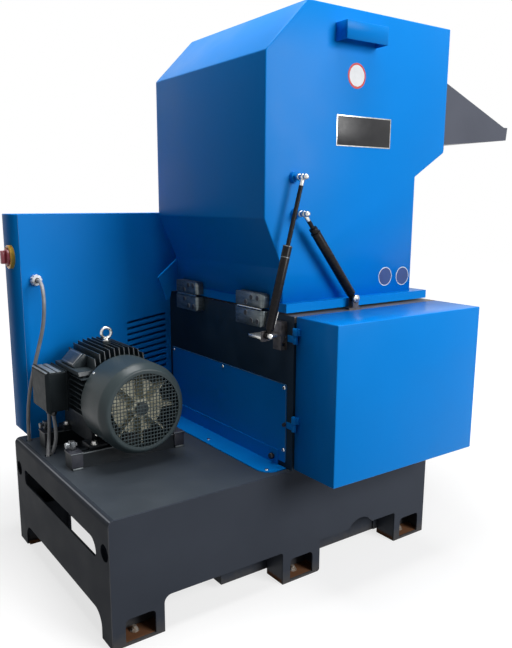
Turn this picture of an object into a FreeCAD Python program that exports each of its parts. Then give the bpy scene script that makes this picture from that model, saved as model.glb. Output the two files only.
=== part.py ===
import FreeCAD, Part
import math
import os

# Plastic granulator: a folded steel base on six feet carries a motor on slide rails,
# a cutting chamber with a hinged guard, a belt housing behind both, and a hopper that
# tilts to the left on two heavy hinges with two struts on its front face.
# Millimetres. X runs along the front wall, Y to the back, Z up. All places are measured
# from the front left corner of the base on the floor, and the finished pieces are moved
# so that the origin is the centre of the anchor holes, at floor level.

os.makedirs("parts", exist_ok=True)

V = FreeCAD.Vector
X_AXIS, Y_AXIS, Z_AXIS = V(1, 0, 0), V(0, 1, 0), V(0, 0, 1)

# Base: the motor bay is the stretch of deck left of the chamber
MOTOR_BAY = 790
BASE_DEPTH = 1030
DECK_HEIGHT = 486
BASE_SHEET = 8
BEND_RADIUS = 24
WALL_BOTTOM = 142
FOOT_WIDTHS = (206, 198, 195)
MIDDLE_FOOT_OUT = 38
FOOT_BOX_DEPTH = 100
FOOT_BOX_HEIGHT = 180
FOOT_CORNER_RADIUS = 12
FOOT_INNER_RADIUS = 30
WINDOW_WIDTH = 120
WINDOW_BOTTOM = 10
WINDOW_TOP = 102
WINDOW_RADIUS = 18
FIRST_WINDOW_SHIFT = 7
ANCHOR_HOLE_RADIUS = 11
OUTLET_INSET = 411
OUTLET_Z = 91
OUTLET_NOTCH_RADIUS = 87
END_FOOT_DEPTH = 93
END_CUT_TOP = 100
END_CUT_RADIUS = 60
END_SLOT_INSETS = (120, 118)
END_SLOT_DROPS = (182, 114)
END_SLOT_RADIUS = 18
END_SLOT_BIG_RADIUS = 50
LIFT_HOLE_RADIUS = 32
LIFT_HOLE_INSET = 45
LIFT_HOLE_DROP = 132
TROUGH_OUT_LEFT = 266
TROUGH_INSET_RIGHT = 210
TROUGH_INSETS_Y = (112, 130)
TROUGH_BOTTOM = 22
TROUGH_SHEET = 5

# Cutting chamber
CHAMBER_LENGTH = 810
CHAMBER_BACK_INSET = 56
CHAMBER_HEIGHT = 625
CHAMBER_WALL = 30
TOP_FLANGE = 24
THROAT_MARGIN_X = (36, 96)
THROAT_MARGIN_Y = (92, 82)
THROAT_RADIUS = 20
ROTOR_HEIGHT = 290
ROTOR_CORE_RADIUS = 130
ROTOR_END_GAP = 14
KNIFE_ROOT_RADIUS = 110
KNIFE_RADIUS = 226
KNIFE_TIP_DROP = 6
KNIFE_THICKNESS = 24
KNIFE_ARM = 92
KNIFE_ROWS = 4
KNIFE_COUNT = 3
KNIFE_STAGGER = 20
KNIFE_ROW_GAP = 8
SHAFT_RADIUS = 48
SHAFT_CLEARANCE = 3
SCREEN_GAP = 16
SCREEN_SHEET = 8
BEAM_HEIGHT = 44
BEARING_RADIUS = 110
BEARING_FLANGE = 16
BEARING_NOSE_RADIUS = 79
BEARING_DEPTH = 78
COVER_INSETS_Y = (38, 25)
COVER_RISE = 24
COVER_HEIGHT = 325
COVER_CORNER_RADIUS = 6
COVER_SHEET = 4
ANGLE_SHEET = 4
ANGLE_REACH = 110
ANGLE_INSETS_Y = (30, 14)
ANGLE_FRONT_RADIUS = 60
ANGLE_BACK_RADIUS = 12
ANGLE_LEG_INSETS_Y = (83, 102)
ANGLE_LEG_HEIGHT = 66
KNOB_Y = 110
KNOB_RISE = 35
KNOB_RADIUS = 21
KNOB_LENGTH = 34
KNOB_HEAD = 18
KNOB_FILLET = 5
KNOB_STEM_RADIUS = 9.5

# Heavy hinges that carry the hopper
HINGE_X_OUT = 40
HINGE_RISE = 11
HINGE_PIN_RADIUS = 5
HINGE_BARREL_RADIUS = 9
HINGE_BLOCK_OUT = 42
HINGE_BLOCK_GAP = 6
HINGE_CORNER_RADIUS = 16
LOWER_BLOCK_HEIGHT = 66
UPPER_BLOCK_HEIGHT = 56
HINGE_INSETS = (152, 131)
HINGE_WIDTH = 193
HINGE_SEGMENTS = 5
RUNNING_CLEARANCE = 0.05
SIDE_CLEARANCE = 0.4
HINGE_CLEARANCE = 0.8

# Hopper
HOPPER_GAP = 8
HOPPER_FLANGE = 35
HOPPER_SHEET = 5
HOPPER_FRONT = 76
HOPPER_BACK_INSET = 66
NECK_INSET_RIGHT = 84
LEFT_OVERHANG = 89
RIGHT_OVERHANG = 179
NECK_LEFT_HEIGHT = 132
LEFT_SLANT_HEIGHT = 193
NECK_RIGHT_HEIGHT = 494
RIGHT_SLANT_HEIGHT = 108
ROOF_HEIGHT = 1116
ROOF_SLANT_WIDTH = 193
ROOF_SLANT_HEIGHT = 196
FLANGE_OUT_LEFT = 4
FLANGE_OUT_RIGHT = 72
FLANGE_OUT_Y = 32
FEED_RISE = 44
FEED_HEIGHT = 240
FEED_MARGIN_Y = 24
CHUTE_REACH = 455
CHUTE_FLOOR_DROP = 8
CHUTE_FLOOR_RISE = 40
CHUTE_TOP_OVER = 12
CHUTE_LIP_HEIGHT = 90
CHUTE_LIP_LEAN = 6
CHUTE_LIP_REACH = 22
CHUTE_SHEET = 4
CHUTE_FLANGE = 5
CHUTE_FLANGE_WIDTH = 26
CHUTE_MARGIN_Y = 6
HOOD_INSET = 242
HOOD_WIDTH = 218
HOOD_DROP = 62
HOOD_HEIGHT = 68
HOOD_REACH = 64
HOOD_SHEET = 4
EAR_SHEET = 12
EAR_REACH = 104
EAR_RISE = (36, 119)
EAR_DROP = 43
EAR_FOOT_INSET = 28
EAR_CLEARANCE = 6

# Struts on the hopper's front face. Feet are placed from the chamber's top left corner,
# heads from the lower left corner of the hopper's neck.
STRUT_OUT = 55
STRUT_PIN_RADIUS = 6
STRUT_1_FOOT = (-110, -65)
STRUT_1_HEAD = (48, 479)
STRUT_1_TUBE_RADIUS = 15
STRUT_1_BORE_RADIUS = 13
STRUT_1_ROD_RADIUS = 6.5
STRUT_1_TUBE_LENGTH = 345
STRUT_1_ROD_LENGTH = 420
STRUT_2_FOOT = (329, 44)
STRUT_2_HEAD = (58, 343)
STRUT_2_TUBE_RADIUS = 17
STRUT_2_BORE_RADIUS = 12
STRUT_2_ROD_RADIUS = 7
STRUT_2_TUBE_LENGTH = 392
STRUT_2_ROD_LENGTH = 375
STRUT_NECK_RADIUS = 7
STRUT_NECK_LENGTH = 24
STRUT_PLUG = 16
EYE_RADIUS = 13
EYE_WIDTH = 14
SOCKET_RADIUS = 13
SOCKET_WIDTH = 18
BOSS_RADIUS = 21
BOSS_HEIGHT = 14
STUD_HEAD_RADIUS = 10
STUD_HEAD_LENGTH = 7

# Left strut bracket, bolted to the chamber's left wall
SHELF_SHEET = 8
SHELF_DROP = 6
SHELF_OVER = 16
SHELF_DEPTH = 76
LUG_SHEET = 10
LUG_HALF_WIDTH = 18
LUG_RISE = 16
LUG_DROP = 22
LUG_GAP = 4
CLAMP_WIDTH = 30
CLAMP_DEPTH = 50
CLAMP_RISE = 40
CLAMP_DROP = 70
CLAMP_HOLE_RADIUS = 9
CLAMP_HOLE_DROP = 48

# Right strut bracket, a fork on the chamber's top flange
FORK_PLATE = 8
FORK_PLATE_LEFT = 36
FORK_PLATE_RIGHT = 30
FORK_SHEET = 6
FORK_HALF_WIDTH = 16
FORK_RISE = 15
FORK_CORNER_RADIUS = 12
FORK_PIN_HEAD_RADIUS = 12
FORK_PIN_HEAD_LENGTH = 5

# Guard box in front of the chamber
GUARD_LEFT_INSET = 8
GUARD_DEPTH = 231
GUARD_GAP = 5
GUARD_LIFT = 6
GUARD_SHEET = 4
GUARD_HINGE_OUT = 4
GUARD_HINGE_FRONT = 14
GUARD_BARREL_RADIUS = 8
GUARD_BARREL_PIN = 4
GUARD_BARREL_LENGTH = 60
GUARD_BARREL_INSETS = (164, 103)
GUARD_LEAF_START = 4
GUARD_LEAF_REACH = 40
GUARD_LEAF_DEPTH = 32

# Belt housing behind motor and chamber
HOUSING_LEFT = 58
HOUSING_DEPTH = 232
HOUSING_HEIGHT = 1004
HOUSING_SHEET = 4
LOUVRE_INSET = 28
LOUVRE_WIDTH = 211
LOUVRE_RISE = 500
LOUVRE_PITCH = 29
LOUVRE_COUNT = 11
LOUVRE_HEIGHT = 11
LOUVRE_SLANT = 8.3
GLAND_INSET = 61
GLAND_RISE = 720
GLAND_RADIUS = 26
GLAND_LENGTH = 30
GLAND_SCALLOPS = 10
GLAND_SCALLOP_RADIUS = 6
GLAND_SCALLOP_OUT = 3
GLAND_SCALLOP_LENGTH = 21
SWITCH_INSET = 121
SWITCH_RISE = 816
SWITCH_RADIUS = 52
SWITCH_PLATE = 8
SWITCH_STEM_RADIUS = 14
SWITCH_STEM = 6
SWITCH_KNOB_RADIUS = 38
SWITCH_KNOB = 14
SWITCH_GRIP = 20
SWITCH_GRIP_HALF_HEIGHT = 29
SWITCH_GRIP_WIDTH = 22
SWITCH_GRIP_RADIUS = 8

# Motor and slide rails
MOTOR_SHIFT = 8
MOTOR_REACH = 614
MOTOR_BACK_GAP = 29
MOTOR_SHAFT_HEIGHT = 180
COWL_RADIUS = 178
COWL_SHEET = 3
COWL_LENGTH = 160
COWL_SHOULDER = 34
COWL_LIP = 4
COWL_BEND_RADIUS = 30
GRILLE_RADIUS = 156
GRILLE_THICKNESS = 3
GRILLE_BAR = 4
GRILLE_PITCH = 17
GRILLE_RIM = 8
FRAME_CORE_RADIUS = 146
FRAME_FIN_RADIUS = 175
FRAME_LENGTH = 385
FIN_THICKNESS = 4
FIN_PITCH = 17
FIN_ROWS = 6
FIN_ROWS_BELOW = 3
SHIELD_RADIUS = 168
SHIELD_LIP = 12
SHIELD_THICKNESS = 22
SHIELD_BOSS_RADIUS = 70
SEAT_CLEARANCE = 0.3
MOTOR_SHAFT_RADIUS = 24
SHAFT_REACH = 60
FAN_RADIUS = 145
FAN_DISC_RADIUS = 112
FAN_DISC = 4
FAN_HUB_RADIUS = 38
FAN_BLADES = 8
FAN_BLADE = 4
FAN_OFFSET = 28
FAN_WIDTH = 52
FAN_SHAFT_RADIUS = 20
FAN_SHAFT_DEPTH = 11
FOOT_PLATE = 18
FOOT_PAD = 80
FOOT_SPREAD = 350
FOOT_WEB = 24
FOOT_WEB_INSET = 45
FOOT_WEB_DROP = 60
RAIL_HEIGHT = 62
RAIL_OUT_LEFT = 263
RAIL_OUT_RIGHT = 251
RAIL_OFFSETS = (140, 456)
RAIL_WIDTH = 72
RAIL_SIDE_INSET = 5
RAIL_END = 46
RAIL_END_EXTRA = 4
RAIL_SLOT_WIDTH = 14
RAIL_SLOT_END = 10
RAIL_TEE_WIDTH = 28
RAIL_TEE_Z = (18, 40)
TERMINAL_OUT = 262
TERMINAL_DEPTH = 70
TERMINAL_OFFSET = 355
TERMINAL_LENGTH = 180
TERMINAL_DROP = 56
TERMINAL_HEIGHT = 170
TERMINAL_FILLET = 6
TERMINAL_SEAT_INSET = 10
TERMINAL_SEAT_REACH = 30
TERMINAL_LID = 18
TERMINAL_LID_OVER = 5
TERMINAL_LID_CHAMFER = 12
EYE_SEAT_RADIUS = 16
EYE_SEAT_RISE = 4
EYE_SEAT_DEPTH = 10
EYE_COLLAR_RADIUS = 20
EYE_COLLAR = 6
EYE_STEM_RADIUS = 9
EYE_RING_RADIUS = 25
EYE_RING_WIRE = 8
EYE_RING_RISE = 48

# Cables. The points of the routes and the holes in the deck are given along X, as the
# distance in front of the belt housing, and as the height.
CABLE_RADIUS = 8
CABLE_HOLE_RADIUS = 15
CABLE_HOLES = ((48, 251), (68, 236), (43, 17))
BEND_SHARE = 0.45
TERMINAL_GLAND_RADIUS = 15
TERMINAL_GLAND_LENGTH = 20
TERMINAL_GLAND_PLACES = ((17, 27), (36, 63))
SUPPLY_ROUTE = [
    (119, 30, 1206), (119, 64, 1206), (119, 95.5, 1193.5), (119, 120, 1170),
    (119, 134, 1138.5), (118.5, 137, 1101), (118, 128, 1051), (116, 108, 995),
    (110, 82, 938), (101, 60, 880), (90, 43, 822), (78, 31, 764), (66, 24, 704),
    (55, 19, 642), (47, 16, 580), (44, 16, 524), (43, 17, 480),
]
MOTOR_ROUTE_1 = [
    (87, 232, 652), (87, 232, 614), (84, 235, 572), (74, 241, 534), (60, 247, 505),
    (47, 252, 480),
]
MOTOR_ROUTE_2 = [
    (106, 196, 652), (106, 196, 612), (103, 203, 568), (93, 215, 530), (80, 226, 503),
    (68, 237, 480),
]

# Places that follow from the sizes above
base_length = MOTOR_BAY + CHAMBER_LENGTH
chamber_left = MOTOR_BAY
chamber_right = base_length
chamber_depth = BASE_DEPTH - CHAMBER_BACK_INSET
chamber_top = DECK_HEIGHT + CHAMBER_HEIGHT
foot_middle_start = chamber_left - MIDDLE_FOOT_OUT
foot_starts = (0, foot_middle_start, base_length - FOOT_WIDTHS[2])
anchor_x = [start + width / 2 + shift for start, width, shift in
            zip(foot_starts, FOOT_WIDTHS, (FIRST_WINDOW_SHIFT, 0, 0))]
anchor_y = (BASE_SHEET + FOOT_BOX_DEPTH / 2, BASE_DEPTH - BASE_SHEET - FOOT_BOX_DEPTH / 2)
origin = V((anchor_x[0] + anchor_x[2]) / 2, BASE_DEPTH / 2, 0)
outlet_x = base_length - OUTLET_INSET
lift_hole_z = DECK_HEIGHT - LIFT_HOLE_DROP
trough_x = (chamber_left - TROUGH_OUT_LEFT, chamber_right - TROUGH_INSET_RIGHT)
trough_y = (TROUGH_INSETS_Y[0], BASE_DEPTH - TROUGH_INSETS_Y[1])
rotor_x = (chamber_left + chamber_right) / 2
rotor_z = DECK_HEIGHT + ROTOR_HEIGHT
rotor_front = CHAMBER_WALL + ROTOR_END_GAP
rotor_back = chamber_depth - CHAMBER_WALL - ROTOR_END_GAP
wall_face = chamber_left - COVER_SHEET
pivot_x = chamber_left - HINGE_X_OUT
pivot_z = chamber_top + HINGE_RISE
rear_hinge_end = chamber_depth - HINGE_INSETS[1]
hinge_spans = ((HINGE_INSETS[0], HINGE_INSETS[0] + HINGE_WIDTH),
               (rear_hinge_end - HINGE_WIDTH, rear_hinge_end))
hopper_bottom = chamber_top + HOPPER_GAP
hopper_back = chamber_depth - HOPPER_BACK_INSET
neck_bottom = hopper_bottom + HOPPER_FLANGE
neck_left = chamber_left
neck_right = chamber_right - NECK_INSET_RIGHT
hopper_left = neck_left - LEFT_OVERHANG
hopper_right = neck_right + RIGHT_OVERHANG
hopper_top = neck_bottom + ROOF_HEIGHT
right_slant_top = neck_bottom + NECK_RIGHT_HEIGHT + RIGHT_SLANT_HEIGHT
feed_z = (right_slant_top + FEED_RISE, right_slant_top + FEED_RISE + FEED_HEIGHT)
hood_x = (neck_left + HOOD_INSET, neck_left + HOOD_INSET + HOOD_WIDTH)
hood_z = (hopper_top - HOOD_DROP - HOOD_HEIGHT, hopper_top - HOOD_DROP)
strut_y = HOPPER_FRONT - STRUT_OUT
strut_1_low = (chamber_left + STRUT_1_FOOT[0], chamber_top + STRUT_1_FOOT[1])
strut_1_high = (neck_left + STRUT_1_HEAD[0], neck_bottom + STRUT_1_HEAD[1])
strut_2_low = (chamber_left + STRUT_2_FOOT[0], chamber_top + STRUT_2_FOOT[1])
strut_2_high = (neck_left + STRUT_2_HEAD[0], neck_bottom + STRUT_2_HEAD[1])
eye_back = strut_y + EYE_WIDTH / 2 + SIDE_CLEARANCE
eye_front = strut_y - EYE_WIDTH / 2 - SIDE_CLEARANCE
socket_back = strut_y + SOCKET_WIDTH / 2 + SIDE_CLEARANCE
socket_front = strut_y - SOCKET_WIDTH / 2 - SIDE_CLEARANCE
housing_front = chamber_depth
housing_back = housing_front + HOUSING_DEPTH
housing_top = DECK_HEIGHT + HOUSING_HEIGHT
louvre_right = chamber_left - LOUVRE_INSET
louvre_top = DECK_HEIGHT + LOUVRE_RISE
gland_x = HOUSING_LEFT + GLAND_INSET
gland_z = DECK_HEIGHT + GLAND_RISE
switch_y = housing_front + SWITCH_INSET
switch_z = DECK_HEIGHT + SWITCH_RISE
switch_seat = HOUSING_LEFT - SWITCH_PLATE - SWITCH_STEM
guard_left = chamber_left + GUARD_LEFT_INSET
guard_back = -GUARD_GAP
guard_front = guard_back - GUARD_DEPTH
guard_bottom = DECK_HEIGHT + GUARD_LIFT
guard_pivot = (chamber_left - GUARD_HINGE_OUT, -GUARD_HINGE_FRONT)
guard_barrel_z = (guard_bottom + GUARD_BARREL_INSETS[0], chamber_top - GUARD_BARREL_INSETS[1])
rail_top = DECK_HEIGHT + RAIL_HEIGHT
motor_x = (chamber_left - ANGLE_REACH) / 2 - MOTOR_SHIFT
motor_z = rail_top + MOTOR_SHAFT_HEIGHT
motor_front = housing_front - MOTOR_REACH
motor_back = housing_front - MOTOR_BACK_GAP
cowl_back = motor_front + COWL_LENGTH
frame_front = cowl_back
frame_back = frame_front + FRAME_LENGTH
foot_front = frame_front + COWL_SHEET
rail_x = (motor_x - RAIL_OUT_LEFT, motor_x + RAIL_OUT_RIGHT)
rail_y = [(motor_front + offset, motor_front + offset + RAIL_WIDTH) for offset in RAIL_OFFSETS]
fan_y = (motor_front + FAN_OFFSET, motor_front + FAN_OFFSET + FAN_WIDTH)
terminal_x = (motor_x - TERMINAL_OUT, motor_x - TERMINAL_OUT + TERMINAL_DEPTH)
terminal_y = (motor_front + TERMINAL_OFFSET, motor_front + TERMINAL_OFFSET + TERMINAL_LENGTH)
terminal_z = (motor_z - TERMINAL_DROP, motor_z - TERMINAL_DROP + TERMINAL_HEIGHT)
eye_y = (frame_front + frame_back) / 2
eye_seat_z = motor_z + FRAME_FIN_RADIUS + EYE_SEAT_RISE

HOPPER_OUTLINE = [
    (neck_left, neck_bottom),
    (neck_right, neck_bottom),
    (neck_right, neck_bottom + NECK_RIGHT_HEIGHT),
    (hopper_right, right_slant_top),
    (hopper_right, hopper_top),
    (hopper_left + ROOF_SLANT_WIDTH, hopper_top),
    (hopper_left, hopper_top - ROOF_SLANT_HEIGHT),
    (hopper_left, neck_bottom + NECK_LEFT_HEIGHT + LEFT_SLANT_HEIGHT),
    (neck_left, neck_bottom + NECK_LEFT_HEIGHT),
]


def block(x, y, z):
    """A box between two places on each axis, given as pairs."""
    return Part.makeBox(x[1] - x[0], y[1] - y[0], z[1] - z[0], V(x[0], y[0], z[0]))


def rod(radius, start, end):
    """A cylinder from one point to another."""
    along = V(*end) - V(*start)
    return Part.makeCylinder(radius, along.Length, V(*start), along)


def outline(points, lift):
    """A closed wire through flat points; a third value on a point rounds that corner."""
    count = len(points)
    flat = [V(p[0], p[1], 0) for p in points]
    ends = []
    for i, point in enumerate(points):
        here, before, after = flat[i], flat[i - 1], flat[(i + 1) % count]
        radius = point[2] if len(point) > 2 else 0
        if not radius:
            ends.append((here, None, here))
            continue
        back, ahead = (before - here).normalize(), (after - here).normalize()
        half = back.getAngle(ahead) / 2
        cut = radius / math.tan(half)
        middle = (back + ahead).normalize() * (radius / math.sin(half) - radius)
        ends.append((here + back * cut, here + middle, here + ahead * cut))
    edges = []
    for i in range(count):
        start, middle, end = ends[i]
        if middle is not None:
            edges.append(Part.Arc(lift(start), lift(middle), lift(end)).toShape())
        following = ends[(i + 1) % count][0]
        if (following - end).Length > 1e-6:
            edges.append(Part.LineSegment(lift(end), lift(following)).toShape())
    return Part.Wire(edges)


def profile(points, axis, start, depth):
    """A flat outline across the named axis, extruded along it from start by depth."""
    lifts = {
        "x": (lambda p: V(start, p.x, p.y), X_AXIS),
        "y": (lambda p: V(p.x, start, p.y), Y_AXIS),
        "z": (lambda p: V(p.x, p.y, start), Z_AXIS),
    }
    lift, direction = lifts[axis]
    return Part.Face(outline(points, lift)).extrude(direction * depth)


def inset(points, distance):
    """The same outline with each side moved inwards; the points run anticlockwise."""
    moved = []
    count = len(points)
    for i in range(count):
        before, here, after = (V(*points[j % count], 0) for j in (i - 1, i, i + 1))
        first, second = (here - before).normalize(), (after - here).normalize()
        normal_1, normal_2 = V(-first.y, first.x, 0), V(-second.y, second.x, 0)
        shift = (normal_1 + normal_2) * (distance / (1 + normal_1.dot(normal_2)))
        moved.append((here.x + shift.x, here.y + shift.y))
    return moved


def ring(outer, inner, start, end):
    """A round collar between two points."""
    return rod(outer, start, end).cut(rod(inner, start, end))


def window(x_middle, width, bottom, top, radius):
    """Outline of an opening with square lower and rounded upper corners."""
    left, right = x_middle - width / 2, x_middle + width / 2
    return [(left, bottom), (right, bottom), (right, top, radius), (left, top, radius)]


# Base: front and back walls, end walls, deck, feet and trough

def long_wall(y, with_notch):
    first_end = FOOT_WIDTHS[0]
    middle_end = foot_middle_start + FOOT_WIDTHS[1]
    last_start = foot_starts[2]
    small = FOOT_CORNER_RADIUS
    points = [
        (0, 0), (first_end, 0), (first_end, WALL_BOTTOM, FOOT_INNER_RADIUS),
        (foot_middle_start, WALL_BOTTOM, small), (foot_middle_start, 0), (middle_end, 0, small),
        (middle_end, WALL_BOTTOM, small), (last_start, WALL_BOTTOM, small),
        (last_start, 0), (base_length, 0), (base_length, DECK_HEIGHT, BEND_RADIUS),
        (0, DECK_HEIGHT, BEND_RADIUS),
    ]
    wall = profile(points, "y", y, BASE_SHEET)
    for x in anchor_x:
        opening = window(x, WINDOW_WIDTH, WINDOW_BOTTOM, WINDOW_TOP, WINDOW_RADIUS)
        wall = wall.cut(profile(opening, "y", y, BASE_SHEET))
    if with_notch:
        wall = wall.cut(rod(OUTLET_NOTCH_RADIUS, (outlet_x, y, OUTLET_Z),
                            (outlet_x, y + BASE_SHEET, OUTLET_Z)))
    return wall


def end_wall(outer_x, inward):
    front, back = BASE_SHEET, BASE_DEPTH - BASE_SHEET
    rear_foot = BASE_DEPTH - END_FOOT_DEPTH
    inner_x = outer_x + inward * BASE_SHEET
    low_x = min(outer_x, inner_x)
    points = [
        (front, 0), (END_FOOT_DEPTH, 0), (END_FOOT_DEPTH, END_CUT_TOP, END_CUT_RADIUS),
        (rear_foot, END_CUT_TOP, END_CUT_RADIUS), (rear_foot, 0), (back, 0),
        (back, DECK_HEIGHT - BEND_RADIUS), (front, DECK_HEIGHT - BEND_RADIUS),
    ]
    wall = profile(points, "x", low_x, BASE_SHEET)
    y0, y1 = END_SLOT_INSETS[0], BASE_DEPTH - END_SLOT_INSETS[1]
    z0, z1 = (DECK_HEIGHT - drop for drop in END_SLOT_DROPS)
    slot = [(y0, z0, END_SLOT_RADIUS), (y1, z0, END_SLOT_RADIUS), (y1, z1, END_SLOT_RADIUS),
            (y0, z1, END_SLOT_BIG_RADIUS)]
    wall = wall.cut(profile(slot, "x", low_x, BASE_SHEET))
    for y in (LIFT_HOLE_INSET, BASE_DEPTH - LIFT_HOLE_INSET):
        wall = wall.cut(rod(LIFT_HOLE_RADIUS, (low_x, y, lift_hole_z),
                            (low_x + BASE_SHEET, y, lift_hole_z)))
    centre_x = outer_x + inward * BEND_RADIUS
    centre_z = DECK_HEIGHT - BEND_RADIUS
    bend = ring(BEND_RADIUS, BEND_RADIUS - BASE_SHEET, (centre_x, front, centre_z),
                (centre_x, back, centre_z))
    quarter_x = sorted((outer_x, centre_x))
    bend = bend.common(block(quarter_x, (front, back), (centre_z, DECK_HEIGHT)))
    return wall.fuse(bend).removeSplitter()


def deck():
    bottom = DECK_HEIGHT - BASE_SHEET
    plate = block((BEND_RADIUS, base_length - BEND_RADIUS),
                  (BASE_SHEET, BASE_DEPTH - BASE_SHEET), (bottom, DECK_HEIGHT))
    inner = TROUGH_SHEET + BASE_SHEET
    plate = plate.cut(block((chamber_left + CHAMBER_WALL, trough_x[1] - inner),
                            (trough_y[0] + inner, trough_y[1] - inner), (bottom, DECK_HEIGHT)))
    for x, before in CABLE_HOLES:
        y = housing_front - before
        plate = plate.cut(rod(CABLE_HOLE_RADIUS, (x, y, bottom), (x, y, DECK_HEIGHT)))
    return plate


def foot_boxes():
    feet = []
    ends = (BASE_SHEET, BASE_DEPTH - BASE_SHEET - FOOT_BOX_DEPTH)
    for start, width, hole_x in zip(foot_starts, FOOT_WIDTHS, anchor_x):
        left = max(start, BASE_SHEET)
        right = min(start + width, base_length - BASE_SHEET)
        for y0, hole_y in zip(ends, anchor_y):
            y = (y0, y0 + FOOT_BOX_DEPTH)
            box = block((left, right), y, (0, FOOT_BOX_HEIGHT))
            inner_left = left + (BASE_SHEET if start > 0 else 0)
            inner_right = right - (BASE_SHEET if right == start + width else 0)
            box = box.cut(block((inner_left, inner_right), y, (WINDOW_BOTTOM, FOOT_BOX_HEIGHT)))
            hole = rod(ANCHOR_HOLE_RADIUS, (hole_x, hole_y, 0), (hole_x, hole_y, WINDOW_BOTTOM))
            feet.append(box.cut(hole))
    return Part.Compound(feet)


def discharge_trough():
    top = DECK_HEIGHT - BASE_SHEET
    outer = block(trough_x, trough_y, (TROUGH_BOTTOM, top))
    t = TROUGH_SHEET
    inner = block((trough_x[0] + t, trough_x[1] - t), (trough_y[0] + t, trough_y[1] - t),
                  (TROUGH_BOTTOM + t, top))
    return outer.cut(inner)


# Cutting chamber

def chamber_end_walls():
    walls = []
    for y in (0, chamber_depth - CHAMBER_WALL):
        wall = block((chamber_left, chamber_right), (y, y + CHAMBER_WALL),
                     (DECK_HEIGHT, chamber_top - TOP_FLANGE))
        bore = rod(SHAFT_RADIUS + SHAFT_CLEARANCE, (rotor_x, y, rotor_z),
                   (rotor_x, y + CHAMBER_WALL, rotor_z))
        walls.append(wall.cut(bore))
    return Part.Compound(walls)


def chamber_side_walls():
    return Part.Compound([
        block((x, x + CHAMBER_WALL), (CHAMBER_WALL, chamber_depth - CHAMBER_WALL),
              (DECK_HEIGHT, chamber_top - TOP_FLANGE))
        for x in (chamber_left, chamber_right - CHAMBER_WALL)])


def chamber_top_flange():
    plate = block((chamber_left, chamber_right), (0, chamber_depth),
                  (chamber_top - TOP_FLANGE, chamber_top))
    x0, x1 = chamber_left + THROAT_MARGIN_X[0], chamber_right - THROAT_MARGIN_X[1]
    y0, y1 = THROAT_MARGIN_Y[0], chamber_depth - THROAT_MARGIN_Y[1]
    r = THROAT_RADIUS
    throat = [(x0, y0, r), (x1, y0, r), (x1, y1, r), (x0, y1, r)]
    return plate.cut(profile(throat, "z", chamber_top - TOP_FLANGE, TOP_FLANGE))


def rotor():
    """Shaft with the thick core that carries the knives."""
    shaft = rod(SHAFT_RADIUS, (rotor_x, -BEARING_DEPTH, rotor_z),
                (rotor_x, chamber_depth, rotor_z))
    core = rod(ROTOR_CORE_RADIUS, (rotor_x, rotor_front, rotor_z), (rotor_x, rotor_back, rotor_z))
    return shaft.fuse(core).removeSplitter()


def rotor_knives():
    """Rows of knife carriers on the rotor's core, each row turned a little further."""
    row = (rotor_back - rotor_front + KNIFE_ROW_GAP) / KNIFE_ROWS
    core = rod(ROTOR_CORE_RADIUS, (0, rotor_front, 0), (0, rotor_back, 0))
    carriers = []
    for i in range(KNIFE_ROWS):
        for k in range(KNIFE_COUNT):
            carrier = profile([(-KNIFE_ARM / 2, 0), (KNIFE_THICKNESS, 0),
                               (KNIFE_THICKNESS, KNIFE_RADIUS),
                               (0, KNIFE_RADIUS - KNIFE_TIP_DROP),
                               (-KNIFE_ARM, KNIFE_ROOT_RADIUS)],
                              "y", rotor_front + i * row, row - KNIFE_ROW_GAP)
            carrier = carrier.cut(core)
            carrier.rotate(V(0, 0, 0), Y_AXIS, k * 360 / KNIFE_COUNT + i * KNIFE_STAGGER)
            carrier.translate(V(rotor_x, 0, rotor_z))
            carriers.append(carrier)
    return Part.Compound(carriers)


def screen_and_beams():
    """Half-round screen under the rotor, hung between two fixed-knife beams."""
    y = (CHAMBER_WALL, chamber_depth - CHAMBER_WALL)
    inner = KNIFE_RADIUS + SCREEN_GAP
    shell = ring(inner + SCREEN_SHEET, inner, (rotor_x, y[0], rotor_z), (rotor_x, y[1], rotor_z))
    reach = inner + SCREEN_SHEET
    shell = shell.common(block((rotor_x - reach, rotor_x + reach), y,
                               (rotor_z - reach, rotor_z)))
    left = block((chamber_left + CHAMBER_WALL, rotor_x - inner), y,
                 (rotor_z, rotor_z + BEAM_HEIGHT))
    right = block((rotor_x + inner, chamber_right - CHAMBER_WALL), y,
                  (rotor_z, rotor_z + BEAM_HEIGHT))
    return shell.fuse([left, right]).removeSplitter()


def rotor_bearing():
    """Flanged bearing housing on the front wall, behind the guard."""
    front = -BEARING_DEPTH
    body = rod(BEARING_RADIUS, (rotor_x, -BEARING_FLANGE, rotor_z), (rotor_x, 0, rotor_z))
    nose = rod(BEARING_NOSE_RADIUS, (rotor_x, front, rotor_z),
               (rotor_x, -BEARING_FLANGE, rotor_z))
    bore = rod(SHAFT_RADIUS + RUNNING_CLEARANCE, (rotor_x, front, rotor_z), (rotor_x, 0, rotor_z))
    return body.fuse(nose).cut(bore).removeSplitter()


def cover_plate():
    y0, y1 = COVER_INSETS_Y[0], chamber_depth - COVER_INSETS_Y[1]
    z0 = DECK_HEIGHT + COVER_RISE
    z1 = z0 + COVER_HEIGHT
    r = COVER_CORNER_RADIUS
    return profile([(y0, z0, r), (y1, z0, r), (y1, z1, r), (y0, z1, r)],
                   "x", wall_face, COVER_SHEET)


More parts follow.
